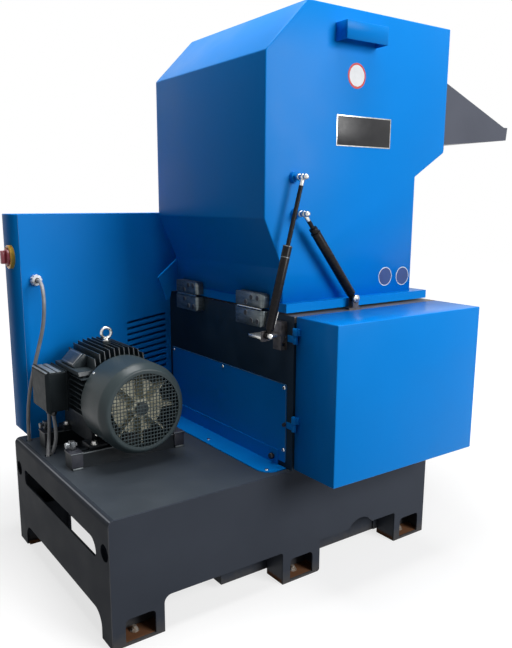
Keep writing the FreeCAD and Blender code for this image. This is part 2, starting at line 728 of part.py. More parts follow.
def floor_angle():
    """Folded strip that closes the corner between deck and chamber wall."""
    left = chamber_left - ANGLE_REACH
    y0, y1 = ANGLE_INSETS_Y[0], chamber_depth - ANGLE_INSETS_Y[1]
    leaf = profile([(left, y0, ANGLE_FRONT_RADIUS), (wall_face, y0), (wall_face, y1),
                    (left, y1, ANGLE_BACK_RADIUS)], "z", DECK_HEIGHT, ANGLE_SHEET)
    leg_y = (ANGLE_LEG_INSETS_Y[0], chamber_depth - ANGLE_LEG_INSETS_Y[1])
    leg = block((wall_face - ANGLE_SHEET, wall_face), leg_y,
                (DECK_HEIGHT, DECK_HEIGHT + ANGLE_LEG_HEIGHT))
    return leaf.fuse(leg).removeSplitter()


def clamp_knob():
    seat = wall_face - ANGLE_SHEET
    tip = seat - KNOB_LENGTH
    z = DECK_HEIGHT + KNOB_RISE
    stem = rod(KNOB_STEM_RADIUS, (tip + KNOB_HEAD - KNOB_FILLET, KNOB_Y, z), (seat, KNOB_Y, z))
    head = rod(KNOB_RADIUS, (tip, KNOB_Y, z), (tip + KNOB_HEAD, KNOB_Y, z))
    head = head.makeFillet(KNOB_FILLET, [e for e in head.Edges if e.Closed])
    return head.fuse(stem).removeSplitter()


# Heavy hinges between chamber and hopper

def hinge_half(span, lower):
    """One bolted block of a hinge, its outer corners rounded, with its own barrel segments."""
    start, end = span
    left = chamber_left - HINGE_BLOCK_OUT
    r = HINGE_CORNER_RADIUS
    if lower:
        top = pivot_z - HINGE_BLOCK_GAP
        bottom = top - LOWER_BLOCK_HEIGHT
        body = profile([(start, bottom, r), (end, bottom, r), (end, top), (start, top)],
                       "x", left, HINGE_BLOCK_OUT)
    else:
        bottom = pivot_z + HINGE_BLOCK_GAP
        top = bottom + UPPER_BLOCK_HEIGHT
        body = profile([(start, bottom), (end, bottom), (end, top, r), (start, top, r)],
                       "x", left, HINGE_BLOCK_OUT)
        body = body.cut(block((neck_left - FLANGE_OUT_LEFT, neck_left), span,
                              (bottom, neck_bottom)))
    length = (end - start) / HINGE_SEGMENTS
    for i in range(HINGE_SEGMENTS):
        own = (i % 2 == 0) == lower
        y0 = start + i * length
        y1 = y0 + length
        if own:
            y0 += SIDE_CLEARANCE / 2
            y1 -= SIDE_CLEARANCE / 2
            barrel = rod(HINGE_BARREL_RADIUS, (pivot_x, y0, pivot_z), (pivot_x, y1, pivot_z))
            body = body.fuse(barrel)
        else:
            room = HINGE_BARREL_RADIUS + HINGE_CLEARANCE
            body = body.cut(rod(room, (pivot_x, y0, pivot_z), (pivot_x, y1, pivot_z)))
    pin_room = HINGE_PIN_RADIUS + RUNNING_CLEARANCE
    return body.cut(rod(pin_room, (pivot_x, start, pivot_z), (pivot_x, end, pivot_z)))


def hinge_pins():
    return Part.Compound([rod(HINGE_PIN_RADIUS, (pivot_x, start, pivot_z), (pivot_x, end, pivot_z))
                          for start, end in hinge_spans])


# Hopper: front and back plates, side strips, roof, flange, hood, ear and chute

def hopper_face(y):
    return profile(HOPPER_OUTLINE, "y", y, HOPPER_SHEET)


def hopper_band():
    """The folded strip all round between front and back plates, open at the bottom."""
    y0 = HOPPER_FRONT + HOPPER_SHEET
    depth = hopper_back - HOPPER_FRONT - 2 * HOPPER_SHEET
    outer = profile(HOPPER_OUTLINE, "y", y0, depth)
    inner_points = inset(HOPPER_OUTLINE, HOPPER_SHEET)
    inner_points[0] = (inner_points[0][0], neck_bottom)
    inner_points[1] = (inner_points[1][0], neck_bottom)
    return outer.cut(profile(inner_points, "y", y0, depth))


def hopper_strips():
    """The band parted into left side, right side and roof where the real sheet is welded."""
    band = hopper_band()
    y = (HOPPER_FRONT, hopper_back)
    slant_z = hopper_top - ROOF_SLANT_HEIGHT
    middle_x = (neck_left + neck_right) / 2
    left = band.common(block((hopper_left, middle_x), y, (neck_bottom, slant_z)))
    right = band.common(block((middle_x, hopper_right), y, (neck_bottom, hopper_top - HOPPER_SHEET)))
    roof = band.common(block((hopper_left, middle_x), y, (slant_z, hopper_top))).fuse(
        band.common(block((middle_x, hopper_right), y,
                          (hopper_top - HOPPER_SHEET, hopper_top)))).removeSplitter()
    feed = block((hopper_right - HOPPER_SHEET, hopper_right),
                 (HOPPER_FRONT + FEED_MARGIN_Y, hopper_back - FEED_MARGIN_Y), feed_z)
    return left, right.cut(feed), roof


def hopper_flange():
    x = (neck_left - FLANGE_OUT_LEFT, neck_right + FLANGE_OUT_RIGHT)
    y = (HOPPER_FRONT - FLANGE_OUT_Y, hopper_back + FLANGE_OUT_Y)
    frame = block(x, y, (hopper_bottom, neck_bottom))
    t = HOPPER_SHEET
    opening = block((neck_left + t, neck_right - t), (HOPPER_FRONT + t, hopper_back - t),
                    (hopper_bottom, neck_bottom))
    return frame.cut(opening)


def hopper_hood():
    """Small folded hood on the front face, open at the bottom."""
    y = (HOPPER_FRONT - HOOD_REACH, HOPPER_FRONT)
    t = HOOD_SHEET
    outer = block(hood_x, y, hood_z)
    inner = block((hood_x[0] + t, hood_x[1] - t), (y[0] + t, y[1]), (hood_z[0], hood_z[1] - t))
    return outer.cut(inner)


def hopper_ear():
    """Gusset plate at the rear left, cut back so that it clears the chamber when tilted."""
    low = hopper_bottom - EAR_DROP
    points = [
        (neck_left, neck_bottom), (neck_left, neck_bottom + EAR_RISE[1]),
        (neck_left - EAR_REACH, neck_bottom + EAR_RISE[0]), (hopper_left + EAR_FOOT_INSET, low),
        (pivot_x - EAR_CLEARANCE, low), (pivot_x + EAR_CLEARANCE, hopper_bottom),
        (neck_left - FLANGE_OUT_LEFT, hopper_bottom), (neck_left - FLANGE_OUT_LEFT, neck_bottom),
    ]
    return profile(points, "y", hopper_back - EAR_SHEET, EAR_SHEET)


def feed_chute():
    """Open tray that slopes down to the feed opening, with tall sides and an end lip."""
    x0, x1 = hopper_right, hopper_right + CHUTE_REACH
    y = (HOPPER_FRONT + CHUTE_MARGIN_Y, hopper_back - CHUTE_MARGIN_Y)
    floor_0 = feed_z[0] - CHUTE_FLOOR_DROP
    floor_1 = floor_0 + CHUTE_FLOOR_RISE
    top = feed_z[1] + CHUTE_TOP_OVER
    lip_top = feed_z[0] + CHUTE_LIP_HEIGHT
    side = [
        (x0, floor_0), (x1, floor_1), (x1 + CHUTE_LIP_LEAN, lip_top),
        (x1 - CHUTE_LIP_REACH, lip_top), (x0, top),
    ]
    t = CHUTE_SHEET
    hollow = [
        (x0, floor_0 + t), (x1 - t, floor_1 + t), (x1 - t + CHUTE_LIP_LEAN, top + t),
        (x0, top + t),
    ]
    tray = profile(side, "y", y[0], y[1] - y[0])
    tray = tray.cut(profile(hollow, "y", y[0] + t, y[1] - y[0] - 2 * t))
    frame = block((x0, x0 + CHUTE_FLANGE), y, (floor_0 - CHUTE_FLANGE_WIDTH, top))
    frame = frame.cut(block((x0, x0 + CHUTE_FLANGE),
                            (HOPPER_FRONT + FEED_MARGIN_Y, hopper_back - FEED_MARGIN_Y), feed_z))
    return tray.fuse(frame).removeSplitter()


# Struts: lower brackets, tubes, rods and the studs on the hopper

def strut_direction(low, high):
    return (V(high[0], 0, high[1]) - V(low[0], 0, low[1])).normalize()


def strut_tube(low, high, radius, bore_radius, length):
    """Tube with an eye at its lower end, bored from its open upper end."""
    direction = strut_direction(low, high)
    foot = V(low[0], strut_y, low[1])
    plug_start = STRUT_NECK_LENGTH
    plug_end = STRUT_NECK_LENGTH + STRUT_PLUG
    eye = rod(EYE_RADIUS, (low[0], strut_y - EYE_WIDTH / 2, low[1]),
              (low[0], strut_y + EYE_WIDTH / 2, low[1]))
    neck = Part.makeCylinder(STRUT_NECK_RADIUS, plug_end, foot, direction)
    tube = Part.makeCylinder(radius, length - plug_start, foot + direction * plug_start, direction)
    body = eye.fuse([neck, tube])
    body = body.cut(Part.makeCylinder(bore_radius, length - plug_end, foot + direction * plug_end,
                                      direction))
    return body.cut(rod(STRUT_PIN_RADIUS + RUNNING_CLEARANCE,
                        (low[0], strut_y - EYE_WIDTH, low[1]),
                        (low[0], strut_y + EYE_WIDTH, low[1])))


def strut_rod(low, high, radius, length):
    """Rod with a ball socket at its upper end, reaching down into its tube."""
    direction = strut_direction(low, high)
    head = V(high[0], strut_y, high[1])
    socket = Part.makeSphere(SOCKET_RADIUS, head).common(
        block((high[0] - SOCKET_RADIUS, high[0] + SOCKET_RADIUS),
              (strut_y - SOCKET_WIDTH / 2, strut_y + SOCKET_WIDTH / 2),
              (high[1] - SOCKET_RADIUS, high[1] + SOCKET_RADIUS)))
    stem = Part.makeCylinder(radius, length, head - direction * length, direction)
    body = socket.fuse(stem)
    return body.cut(rod(STRUT_PIN_RADIUS + RUNNING_CLEARANCE,
                        (high[0], strut_y - SOCKET_WIDTH, high[1]),
                        (high[0], strut_y + SOCKET_WIDTH, high[1])))


def strut_studs():
    """Round bosses on the hopper with the studs that carry the ball sockets."""
    studs = []
    boss_front = HOPPER_FRONT - BOSS_HEIGHT
    for x, z in (strut_1_high, strut_2_high):
        boss = rod(BOSS_RADIUS, (x, boss_front, z), (x, HOPPER_FRONT, z))
        collar = rod(STUD_HEAD_RADIUS, (x, socket_back, z), (x, boss_front, z))
        pin = rod(STRUT_PIN_RADIUS, (x, socket_front, z), (x, boss_front, z))
        head = rod(STUD_HEAD_RADIUS, (x, socket_front - STUD_HEAD_LENGTH, z), (x, socket_front, z))
        studs.append(boss.fuse([collar, pin, head]).removeSplitter())
    return Part.Compound(studs)


def left_strut_bracket():
    """Shelf and upright lug on a drilled clamp block, screwed to the chamber's left wall."""
    x, z = strut_1_low
    lug_y = (eye_back + LUG_GAP, eye_back + LUG_GAP + LUG_SHEET)
    shelf = block((x - SHELF_OVER, chamber_left), (lug_y[1], lug_y[1] + SHELF_DEPTH),
                  (z - SHELF_DROP - SHELF_SHEET, z - SHELF_DROP))
    lug = block((x - LUG_HALF_WIDTH, x + LUG_HALF_WIDTH), lug_y, (z - LUG_DROP, z + LUG_RISE))
    clamp = block((chamber_left - CLAMP_WIDTH, chamber_left),
                  (lug_y[1], lug_y[1] + CLAMP_DEPTH), (z - CLAMP_DROP, z + CLAMP_RISE))
    clamp = clamp.cut(rod(CLAMP_HOLE_RADIUS,
                          (chamber_left - CLAMP_WIDTH / 2, lug_y[1], z - CLAMP_HOLE_DROP),
                          (chamber_left - CLAMP_WIDTH / 2, lug_y[1] + CLAMP_DEPTH,
                           z - CLAMP_HOLE_DROP)))
    pin = rod(STRUT_PIN_RADIUS, (x, eye_front, z), (x, lug_y[0], z))
    collar = rod(STUD_HEAD_RADIUS, (x, eye_back, z), (x, lug_y[0], z))
    head = rod(STUD_HEAD_RADIUS, (x, eye_front - STUD_HEAD_LENGTH, z), (x, eye_front, z))
    return shelf.fuse([lug, clamp, pin, collar, head]).removeSplitter()


def right_strut_bracket():
    """Fork with a headed pin on a plate that is screwed to the chamber's top flange."""
    x, z = strut_2_low
    ears = ((eye_back, eye_back + FORK_SHEET), (eye_front - FORK_SHEET, eye_front))
    front, back = ears[1][0], ears[0][1]
    plate = block((x - FORK_PLATE_LEFT, x + FORK_PLATE_RIGHT), (front, back),
                  (chamber_top, chamber_top + FORK_PLATE))
    pieces = [rod(STRUT_PIN_RADIUS, (x, front, z), (x, back, z)),
              rod(FORK_PIN_HEAD_RADIUS, (x, front - FORK_PIN_HEAD_LENGTH, z), (x, front, z))]
    left, right, top = x - FORK_HALF_WIDTH, x + FORK_HALF_WIDTH, z + FORK_RISE
    for ear in ears:
        pieces.append(profile([(left, chamber_top), (right, chamber_top),
                               (right, top, FORK_CORNER_RADIUS), (left, top, FORK_CORNER_RADIUS)],
                              "y", ear[0], FORK_SHEET))
    return plate.fuse(pieces).removeSplitter()


# Guard box and its barrel hinges

def guard_box():
    t = GUARD_SHEET
    outer = block((guard_left, chamber_right), (guard_front, guard_back),
                  (guard_bottom, chamber_top))
    inner = block((guard_left + t, chamber_right - t), (guard_front + t, guard_back),
                  (guard_bottom + t, chamber_top - t))
    return outer.cut(inner)


def guard_barrels(moving):
    """Barrel hinges at the guard's left edge: the upper half turns with the guard."""
    x, y = guard_pivot
    solids = []
    for z0 in guard_barrel_z:
        middle = z0 + GUARD_BARREL_LENGTH / 2
        if moving:
            z = (middle + SIDE_CLEARANCE, z0 + GUARD_BARREL_LENGTH)
            leaf = block((x, guard_left), (y - GUARD_LEAF_REACH, y - GUARD_LEAF_START), z)
            barrel = rod(GUARD_BARREL_RADIUS, (x, y, z[0]), (x, y, z[1])).fuse(leaf)
            barrel = barrel.cut(rod(GUARD_BARREL_PIN + RUNNING_CLEARANCE,
                                    (x, y, z[0]), (x, y, z[1])))
        else:
            z = (z0, middle)
            leaf = block((x, chamber_left), (y, GUARD_LEAF_DEPTH), z)
            barrel = rod(GUARD_BARREL_RADIUS, (x, y, z[0]), (x, y, z[1])).fuse(leaf)
            pin = rod(GUARD_BARREL_PIN, (x, y, z[0]), (x, y, z0 + GUARD_BARREL_LENGTH))
            barrel = barrel.fuse(pin)
        solids.append(barrel.removeSplitter())
    return Part.Compound(solids)


# Belt housing with louvres, main switch and gland

def housing_front_panel():
    y = (housing_front, housing_front + HOUSING_SHEET)
    panel = block((HOUSING_LEFT, base_length), y, (DECK_HEIGHT, housing_top))
    for i in range(LOUVRE_COUNT):
        z = louvre_top - i * LOUVRE_PITCH
        slot = block((louvre_right - LOUVRE_WIDTH, louvre_right), y,
                     (z - LOUVRE_HEIGHT / 2, z + LOUVRE_HEIGHT / 2))
        slot.rotate(V(louvre_right - LOUVRE_WIDTH / 2, housing_front, z), Y_AXIS, -LOUVRE_SLANT)
        panel = panel.cut(slot)
    shaft_room = rod(MOTOR_SHAFT_RADIUS + SHAFT_CLEARANCE, motor_axis(y[0]), motor_axis(y[1]))
    return panel.cut(shaft_room)


def housing_shell():
    t = HOUSING_SHEET
    front = housing_front + t
    outer = block((HOUSING_LEFT, base_length), (front, housing_back), (DECK_HEIGHT, housing_top))
    inner = block((HOUSING_LEFT + t, base_length - t), (front, housing_back - t),
                  (DECK_HEIGHT, housing_top - t))
    return outer.cut(inner)


def switch_plate():
    plate = rod(SWITCH_RADIUS, (HOUSING_LEFT - SWITCH_PLATE, switch_y, switch_z),
                (HOUSING_LEFT, switch_y, switch_z))
    stem = rod(SWITCH_STEM_RADIUS, (switch_seat, switch_y, switch_z),
               (HOUSING_LEFT - SWITCH_PLATE, switch_y, switch_z))
    return plate.fuse(stem).removeSplitter()


def switch_handle():
    """Round knob with an upright grip across its face."""
    seat = switch_seat - SIDE_CLEARANCE
    face = seat - SWITCH_KNOB
    knob = rod(SWITCH_KNOB_RADIUS, (face, switch_y, switch_z), (seat, switch_y, switch_z))
    half, tall = SWITCH_GRIP_WIDTH / 2, SWITCH_GRIP_HALF_HEIGHT
    r = SWITCH_GRIP_RADIUS
    grip = profile([(switch_y - half, switch_z - tall, r), (switch_y + half, switch_z - tall, r),
                    (switch_y + half, switch_z + tall, r), (switch_y - half, switch_z + tall, r)],
                   "x", face - SWITCH_GRIP, SWITCH_GRIP)
    return knob.fuse(grip).removeSplitter()


def scalloped_nut(radius, length, front, x, z):
    body = rod(radius, (x, front, z), (x, front + length, z))
    out = radius + GLAND_SCALLOP_OUT
    for i in range(GLAND_SCALLOPS):
        angle = i * 2 * math.pi / GLAND_SCALLOPS
        cx, cz = x + out * math.cos(angle), z + out * math.sin(angle)
        body = body.cut(rod(GLAND_SCALLOP_RADIUS, (cx, front, cz),
                            (cx, front + GLAND_SCALLOP_LENGTH, cz)))
    return body


def cable_glands():
    glands = [scalloped_nut(GLAND_RADIUS, GLAND_LENGTH, housing_front - GLAND_LENGTH,
                            gland_x, gland_z)]
    for out, offset in TERMINAL_GLAND_PLACES:
        x, y = terminal_x[0] + out, terminal_y[0] + offset
        glands.append(rod(TERMINAL_GLAND_RADIUS, (x, y, terminal_z[0] - TERMINAL_GLAND_LENGTH),
                          (x, y, terminal_z[0])))
    return Part.Compound(glands)


# Motor: finned frame with end shields and feet, cowl, grille, fan, terminal box, eye, rails

def motor_axis(y):
    return (motor_x, y, motor_z)


def motor_frame():
    """Round frame with upright fins on top and level fins on its sides, and end shields."""
    core = rod(FRAME_CORE_RADIUS, motor_axis(frame_front), motor_axis(frame_back))
    reach = FRAME_FIN_RADIUS
    half = FIN_THICKNESS / 2
    y = (frame_front, frame_back)
    fins = []
    for i in range(-FIN_ROWS, FIN_ROWS + 1):
        offset = i * FIN_PITCH
        fins.append(block((motor_x + offset - half, motor_x + offset + half), y,
                          (motor_z, motor_z + reach)))
        if i >= -FIN_ROWS_BELOW:
            fins.append(block((motor_x - reach, motor_x + reach), y,
                              (motor_z + offset - half, motor_z + offset + half)))
    envelope = rod(reach, motor_axis(frame_front), motor_axis(frame_back))
    body = core.fuse([fin.common(envelope) for fin in fins])
    margin = TERMINAL_SEAT_INSET
    seat = block((terminal_x[1], motor_x - FRAME_CORE_RADIUS + TERMINAL_SEAT_REACH),
                 (terminal_y[0] + margin, terminal_y[1] - margin),
                 (terminal_z[0] + margin, terminal_z[1] - margin))
    lip_front = frame_front - SHIELD_LIP
    front_shield = rod(COWL_RADIUS - COWL_SHEET - SEAT_CLEARANCE, motor_axis(lip_front),
                       motor_axis(frame_front))
    shield_back = frame_back + SHIELD_THICKNESS
    back_shield = rod(SHIELD_RADIUS, motor_axis(frame_back), motor_axis(shield_back))
    boss = rod(SHIELD_BOSS_RADIUS, motor_axis(shield_back), motor_axis(motor_back))
    shaft = rod(MOTOR_SHAFT_RADIUS, motor_axis(motor_back), motor_axis(motor_back + SHAFT_REACH))
    eye_seat = rod(EYE_SEAT_RADIUS,
                   (motor_x, eye_y, motor_z + FRAME_CORE_RADIUS - EYE_SEAT_DEPTH),
                   (motor_x, eye_y, eye_seat_z))
    body = body.fuse([seat, front_shield, back_shield, boss, shaft, eye_seat])
    bore = rod(FAN_SHAFT_RADIUS + RUNNING_CLEARANCE, motor_axis(lip_front),
               motor_axis(frame_front + FAN_SHAFT_DEPTH + SIDE_CLEARANCE))
    return body.cut(bore).removeSplitter()


def motor_feet():
    """Left and right foot: an upright web under the frame with a pad over each rail."""
    core = rod(FRAME_CORE_RADIUS, motor_axis(frame_front), motor_axis(frame_back))
    feet = []
    for side in (-1, 1):
        outer = motor_x + side * FOOT_SPREAD / 2
        middle = outer - side * FOOT_WEB_INSET
        foot = block((middle - FOOT_WEB / 2, middle + FOOT_WEB / 2),
                     (foot_front, rail_y[1][1]), (rail_top, motor_z - FOOT_WEB_DROP))
        for y in rail_y:
            foot = foot.fuse(block(sorted((outer, outer - side * FOOT_PAD)),
                                   (max(y[0], foot_front), y[1]),
                                   (rail_top, rail_top + FOOT_PLATE)))
        feet.append(foot.cut(core).removeSplitter())
    return Part.Compound(feet)


def fan_cowl():
    """Turned cover: a round sleeve with a shoulder that narrows to the grille."""
    t = COWL_SHEET
    lip = GRILLE_RADIUS + COWL_LIP
    front, shoulder = motor_front, motor_front + COWL_SHOULDER
    rise = COWL_SHOULDER / (COWL_RADIUS - lip)
    across = t * math.hypot(1, rise)
    inner_lip = lip - (across - t) / rise
    inner_shoulder = front + (COWL_RADIUS - t - lip) * rise + across
    half_section = [
        (GRILLE_RADIUS, front), (lip, front), (COWL_RADIUS, shoulder, COWL_BEND_RADIUS),
        (COWL_RADIUS, cowl_back), (COWL_RADIUS - t, cowl_back),
        (COWL_RADIUS - t, inner_shoulder, COWL_BEND_RADIUS - t), (inner_lip, front + t),
        (GRILLE_RADIUS, front + t),
    ]
    wire = outline(half_section, lambda p: V(motor_x + p.x, p.y, motor_z))
    return Part.Face(wire).revolve(V(*motor_axis(0)), Y_AXIS, 360)


def fan_grille():
    """Flat guard: a rim with crossing square bars."""
    y = (motor_front, motor_front + GRILLE_THICKNESS)
    disc = rod(GRILLE_RADIUS, motor_axis(y[0]), motor_axis(y[1]))
    rim = ring(GRILLE_RADIUS, GRILLE_RADIUS - GRILLE_RIM, motor_axis(y[0]), motor_axis(y[1]))
    count = int((GRILLE_RADIUS - GRILLE_RIM) / GRILLE_PITCH)
    bars = []
    half = GRILLE_BAR / 2
    for i in range(-count, count + 1):
        offset = i * GRILLE_PITCH
        bars.append(block((motor_x + offset - half, motor_x + offset + half), y,
                          (motor_z - GRILLE_RADIUS, motor_z + GRILLE_RADIUS)).common(disc))
        bars.append(block((motor_x - GRILLE_RADIUS, motor_x + GRILLE_RADIUS), y,
                          (motor_z + offset - half, motor_z + offset + half)).common(disc))
    return rim.fuse(bars).removeSplitter()


def motor_fan():
    """Hub and disc with radial blades, on the motor's front shaft end."""
    hub = rod(FAN_HUB_RADIUS, motor_axis(fan_y[0]), motor_axis(fan_y[1]))
    disc = rod(FAN_DISC_RADIUS, motor_axis(fan_y[1] - FAN_DISC), motor_axis(fan_y[1]))
    shaft = rod(FAN_SHAFT_RADIUS, motor_axis(fan_y[1]), motor_axis(frame_front + FAN_SHAFT_DEPTH))
    blades = []
    for i in range(FAN_BLADES):
        blade = block((0, FAN_RADIUS), fan_y, (-FAN_BLADE / 2, FAN_BLADE / 2))
        blade.rotate(V(0, 0, 0), Y_AXIS, i * 360 / FAN_BLADES)
        blade.translate(V(motor_x, 0, motor_z))
        blades.append(blade)
    return hub.fuse([disc, shaft] + blades).removeSplitter()


def terminal_box():
    box = block(terminal_x, terminal_y, terminal_z)
    long_edges = [e for e in box.Edges if abs(e.tangentAt(e.FirstParameter).x) > 0.9]
    return box.makeFillet(TERMINAL_FILLET, long_edges)


def terminal_lid():
    """Lid with its outer edges bevelled."""
    over = TERMINAL_LID_OVER
    x1 = terminal_x[0]
    x0 = x1 - TERMINAL_LID
    lid = block((x0, x1), (terminal_y[0] - over, terminal_y[1] + over),
                (terminal_z[0] - over, terminal_z[1] + over))
    outer_edges = [e for e in lid.Edges if e.BoundBox.XMax < x0 + over]
    return lid.makeChamfer(TERMINAL_LID_CHAMFER, outer_edges)


def motor_eyebolt():
    ring_z = eye_seat_z + EYE_RING_RISE
    torus = Part.makeTorus(EYE_RING_RADIUS, EYE_RING_WIRE, V(motor_x, eye_y, ring_z), Y_AXIS)
    stem = rod(EYE_STEM_RADIUS, (motor_x, eye_y, eye_seat_z),
               (motor_x, eye_y, ring_z - EYE_RING_RADIUS))
    collar = rod(EYE_COLLAR_RADIUS, (motor_x, eye_y, eye_seat_z),
                 (motor_x, eye_y, eye_seat_z + EYE_COLLAR))
    return torus.fuse([stem, collar])


def slide_rails():
    """Two bars with a T-slot for the foot bolts and a raised block at each end."""
    rails = []
    x0, x1 = rail_x
    slot_x = (x0 + RAIL_END + RAIL_SLOT_END, x1 - RAIL_END - RAIL_SLOT_END)
    tee_z = [DECK_HEIGHT + z for z in RAIL_TEE_Z]
    for y in rail_y:
        middle = (y[0] + y[1]) / 2
        bar = block(rail_x, (y[0] + RAIL_SIDE_INSET, y[1] - RAIL_SIDE_INSET),
                    (DECK_HEIGHT, rail_top))
        bar = bar.cut(block(slot_x, (middle - RAIL_SLOT_WIDTH / 2, middle + RAIL_SLOT_WIDTH / 2),
                            (tee_z[0], rail_top)))
        bar = bar.cut(block(slot_x, (middle - RAIL_TEE_WIDTH / 2, middle + RAIL_TEE_WIDTH / 2),
                            tee_z))
        for x in ((x0, x0 + RAIL_END), (x1 - RAIL_END, x1)):
            bar = bar.fuse(block(x, y, (DECK_HEIGHT, rail_top + RAIL_END_EXTRA)))
        rails.append(bar.removeSplitter())
    return Part.Compound(rails)


# Cables: straight runs joined by tangent arcs

def cable(name, route):
    spots = [V(x, housing_front - before, z) for x, before, z in route]
    edges = []
    here = spots[0]
    radii = []
    for i in range(1, len(spots) - 1):
        back = spots[i - 1] - spots[i]
        ahead = spots[i + 1] - spots[i]
        half = back.getAngle(ahead) / 2
        reach = BEND_SHARE * min(back.Length, ahead.Length)
        radius = reach * math.tan(half)
        radii.append(radius)
        back.normalize()
        ahead.normalize()
        start = spots[i] + back * reach
        end = spots[i] + ahead * reach
        middle = spots[i] + (back + ahead).normalize() * (radius / math.sin(half) - radius)
        edges.append(Part.LineSegment(here, start).toShape())
        edges.append(Part.Arc(start, middle, end).toShape())
        here = end
    edges.append(Part.LineSegment(here, spots[-1]).toShape())
    path = Part.Wire(edges)
    section = Part.Wire(Part.makeCircle(CABLE_RADIUS, spots[0], spots[1] - spots[0]))
    print(f"{name}: {path.Length:.0f} mm long, tightest bend {min(radii):.0f} mm")
    return path.makePipeShell([section], True, False)


def save(name, shape):
    placed = shape.copy()
    placed.translate(-origin)
    placed.exportStep(f"parts/{name}.step")


left_strip, right_strip, roof_strip = hopper_strips()

PIECES = {
    "base_front_wall": long_wall(0, True),
    "base_back_wall": long_wall(BASE_DEPTH - BASE_SHEET, False),
    "base_left_end": end_wall(0, 1),
    "base_right_end": end_wall(base_length, -1),
    "base_deck": deck(),
    "base_foot_boxes": foot_boxes(),
    "discharge_trough": discharge_trough(),
    "chamber_end_walls": chamber_end_walls(),
    "chamber_side_walls": chamber_side_walls(),
    "chamber_top_flange": chamber_top_flange(),
    "rotor": rotor(),
    "rotor_knives": rotor_knives(),
    "screen_and_beams": screen_and_beams(),
    "rotor_bearing": rotor_bearing(),
    "cover_plate": cover_plate(),
    "floor_angle": floor_angle(),
    "clamp_knob": clamp_knob(),
    "hinge_lower_halves": Part.Compound([hinge_half(span, True) for span in hinge_spans]),
    "hinge_pins": hinge_pins(),
    "hinge_upper_halves": Part.Compound([hinge_half(span, False) for span in hinge_spans]),
    "hopper_front_plate": hopper_face(HOPPER_FRONT),
    "hopper_back_plate": hopper_face(hopper_back - HOPPER_SHEET),
    "hopper_left_side": left_strip,
    "hopper_right_side": right_strip,
    "hopper_roof": roof_strip,
    "hopper_flange": hopper_flange(),
    "hopper_hood": hopper_hood(),
    "hopper_ear": hopper_ear(),
    "feed_chute": feed_chute(),
    "strut_studs": strut_studs(),
    "strut_brackets": Part.Compound([left_strut_bracket(), right_strut_bracket()]),
    "strut_1_tube": strut_tube(strut_1_low, strut_1_high, STRUT_1_TUBE_RADIUS,
                               STRUT_1_BORE_RADIUS, STRUT_1_TUBE_LENGTH),
    "strut_1_rod": strut_rod(strut_1_low, strut_1_high, STRUT_1_ROD_RADIUS, STRUT_1_ROD_LENGTH),
    "strut_2_tube": strut_tube(strut_2_low, strut_2_high, STRUT_2_TUBE_RADIUS,
                               STRUT_2_BORE_RADIUS, STRUT_2_TUBE_LENGTH),
    "strut_2_rod": strut_rod(strut_2_low, strut_2_high, STRUT_2_ROD_RADIUS, STRUT_2_ROD_LENGTH),
    "guard_box": guard_box(),
    "guard_hinge_barrels": guard_barrels(True),
    "guard_hinge_leaves": guard_barrels(False),
    "housing_front_panel": housing_front_panel(),
    "housing_shell": housing_shell(),
    "switch_plate": switch_plate(),
    "switch_handle": switch_handle(),
    "cable_glands": cable_glands(),
    "motor_frame": motor_frame(),
    "motor_feet": motor_feet(),
    "fan_cowl": fan_cowl(),
    "fan_grille": fan_grille(),
    "motor_fan": motor_fan(),
    "terminal_box": terminal_box(),
    "terminal_lid": terminal_lid(),
    "motor_eyebolt": motor_eyebolt(),
    "slide_rails": slide_rails(),
    "supply_cable": cable("supply_cable", SUPPLY_ROUTE),
    "motor_cable_1": cable("motor_cable_1", MOTOR_ROUTE_1),
    "motor_cable_2": cable("motor_cable_2", MOTOR_ROUTE_2),
}

for name, shape in PIECES.items():
    save(name, shape)
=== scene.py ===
import math

import bmesh
import bpy
from mathutils import Matrix, Vector


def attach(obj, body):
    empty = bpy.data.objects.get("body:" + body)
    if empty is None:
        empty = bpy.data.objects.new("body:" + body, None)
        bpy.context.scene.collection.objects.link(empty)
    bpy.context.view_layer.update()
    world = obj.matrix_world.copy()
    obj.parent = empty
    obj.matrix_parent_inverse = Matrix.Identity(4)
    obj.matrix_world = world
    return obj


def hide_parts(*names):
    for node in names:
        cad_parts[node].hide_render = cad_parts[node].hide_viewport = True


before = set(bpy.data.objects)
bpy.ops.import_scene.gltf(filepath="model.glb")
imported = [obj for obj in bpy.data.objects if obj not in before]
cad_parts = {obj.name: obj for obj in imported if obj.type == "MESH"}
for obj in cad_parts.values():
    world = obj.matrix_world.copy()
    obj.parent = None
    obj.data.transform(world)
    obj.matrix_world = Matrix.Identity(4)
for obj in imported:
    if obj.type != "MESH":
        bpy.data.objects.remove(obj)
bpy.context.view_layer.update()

# Base. A folded and welded steel frame on six feet, stoved in dark grey. Plates close the
# pockets of its feet on the inside, closed sleeves stand behind the lifting holes, and each
# foot is held to the floor by an anchor bolt through its rusty floor plate.

BASE_CORNER = Vector((-0.80625, -0.515, 0.0))


def spot(x, y, z):
    """A place in millimetres from the base's front left corner on the floor."""
    return BASE_CORNER + Vector((x, y, z)) / 1000


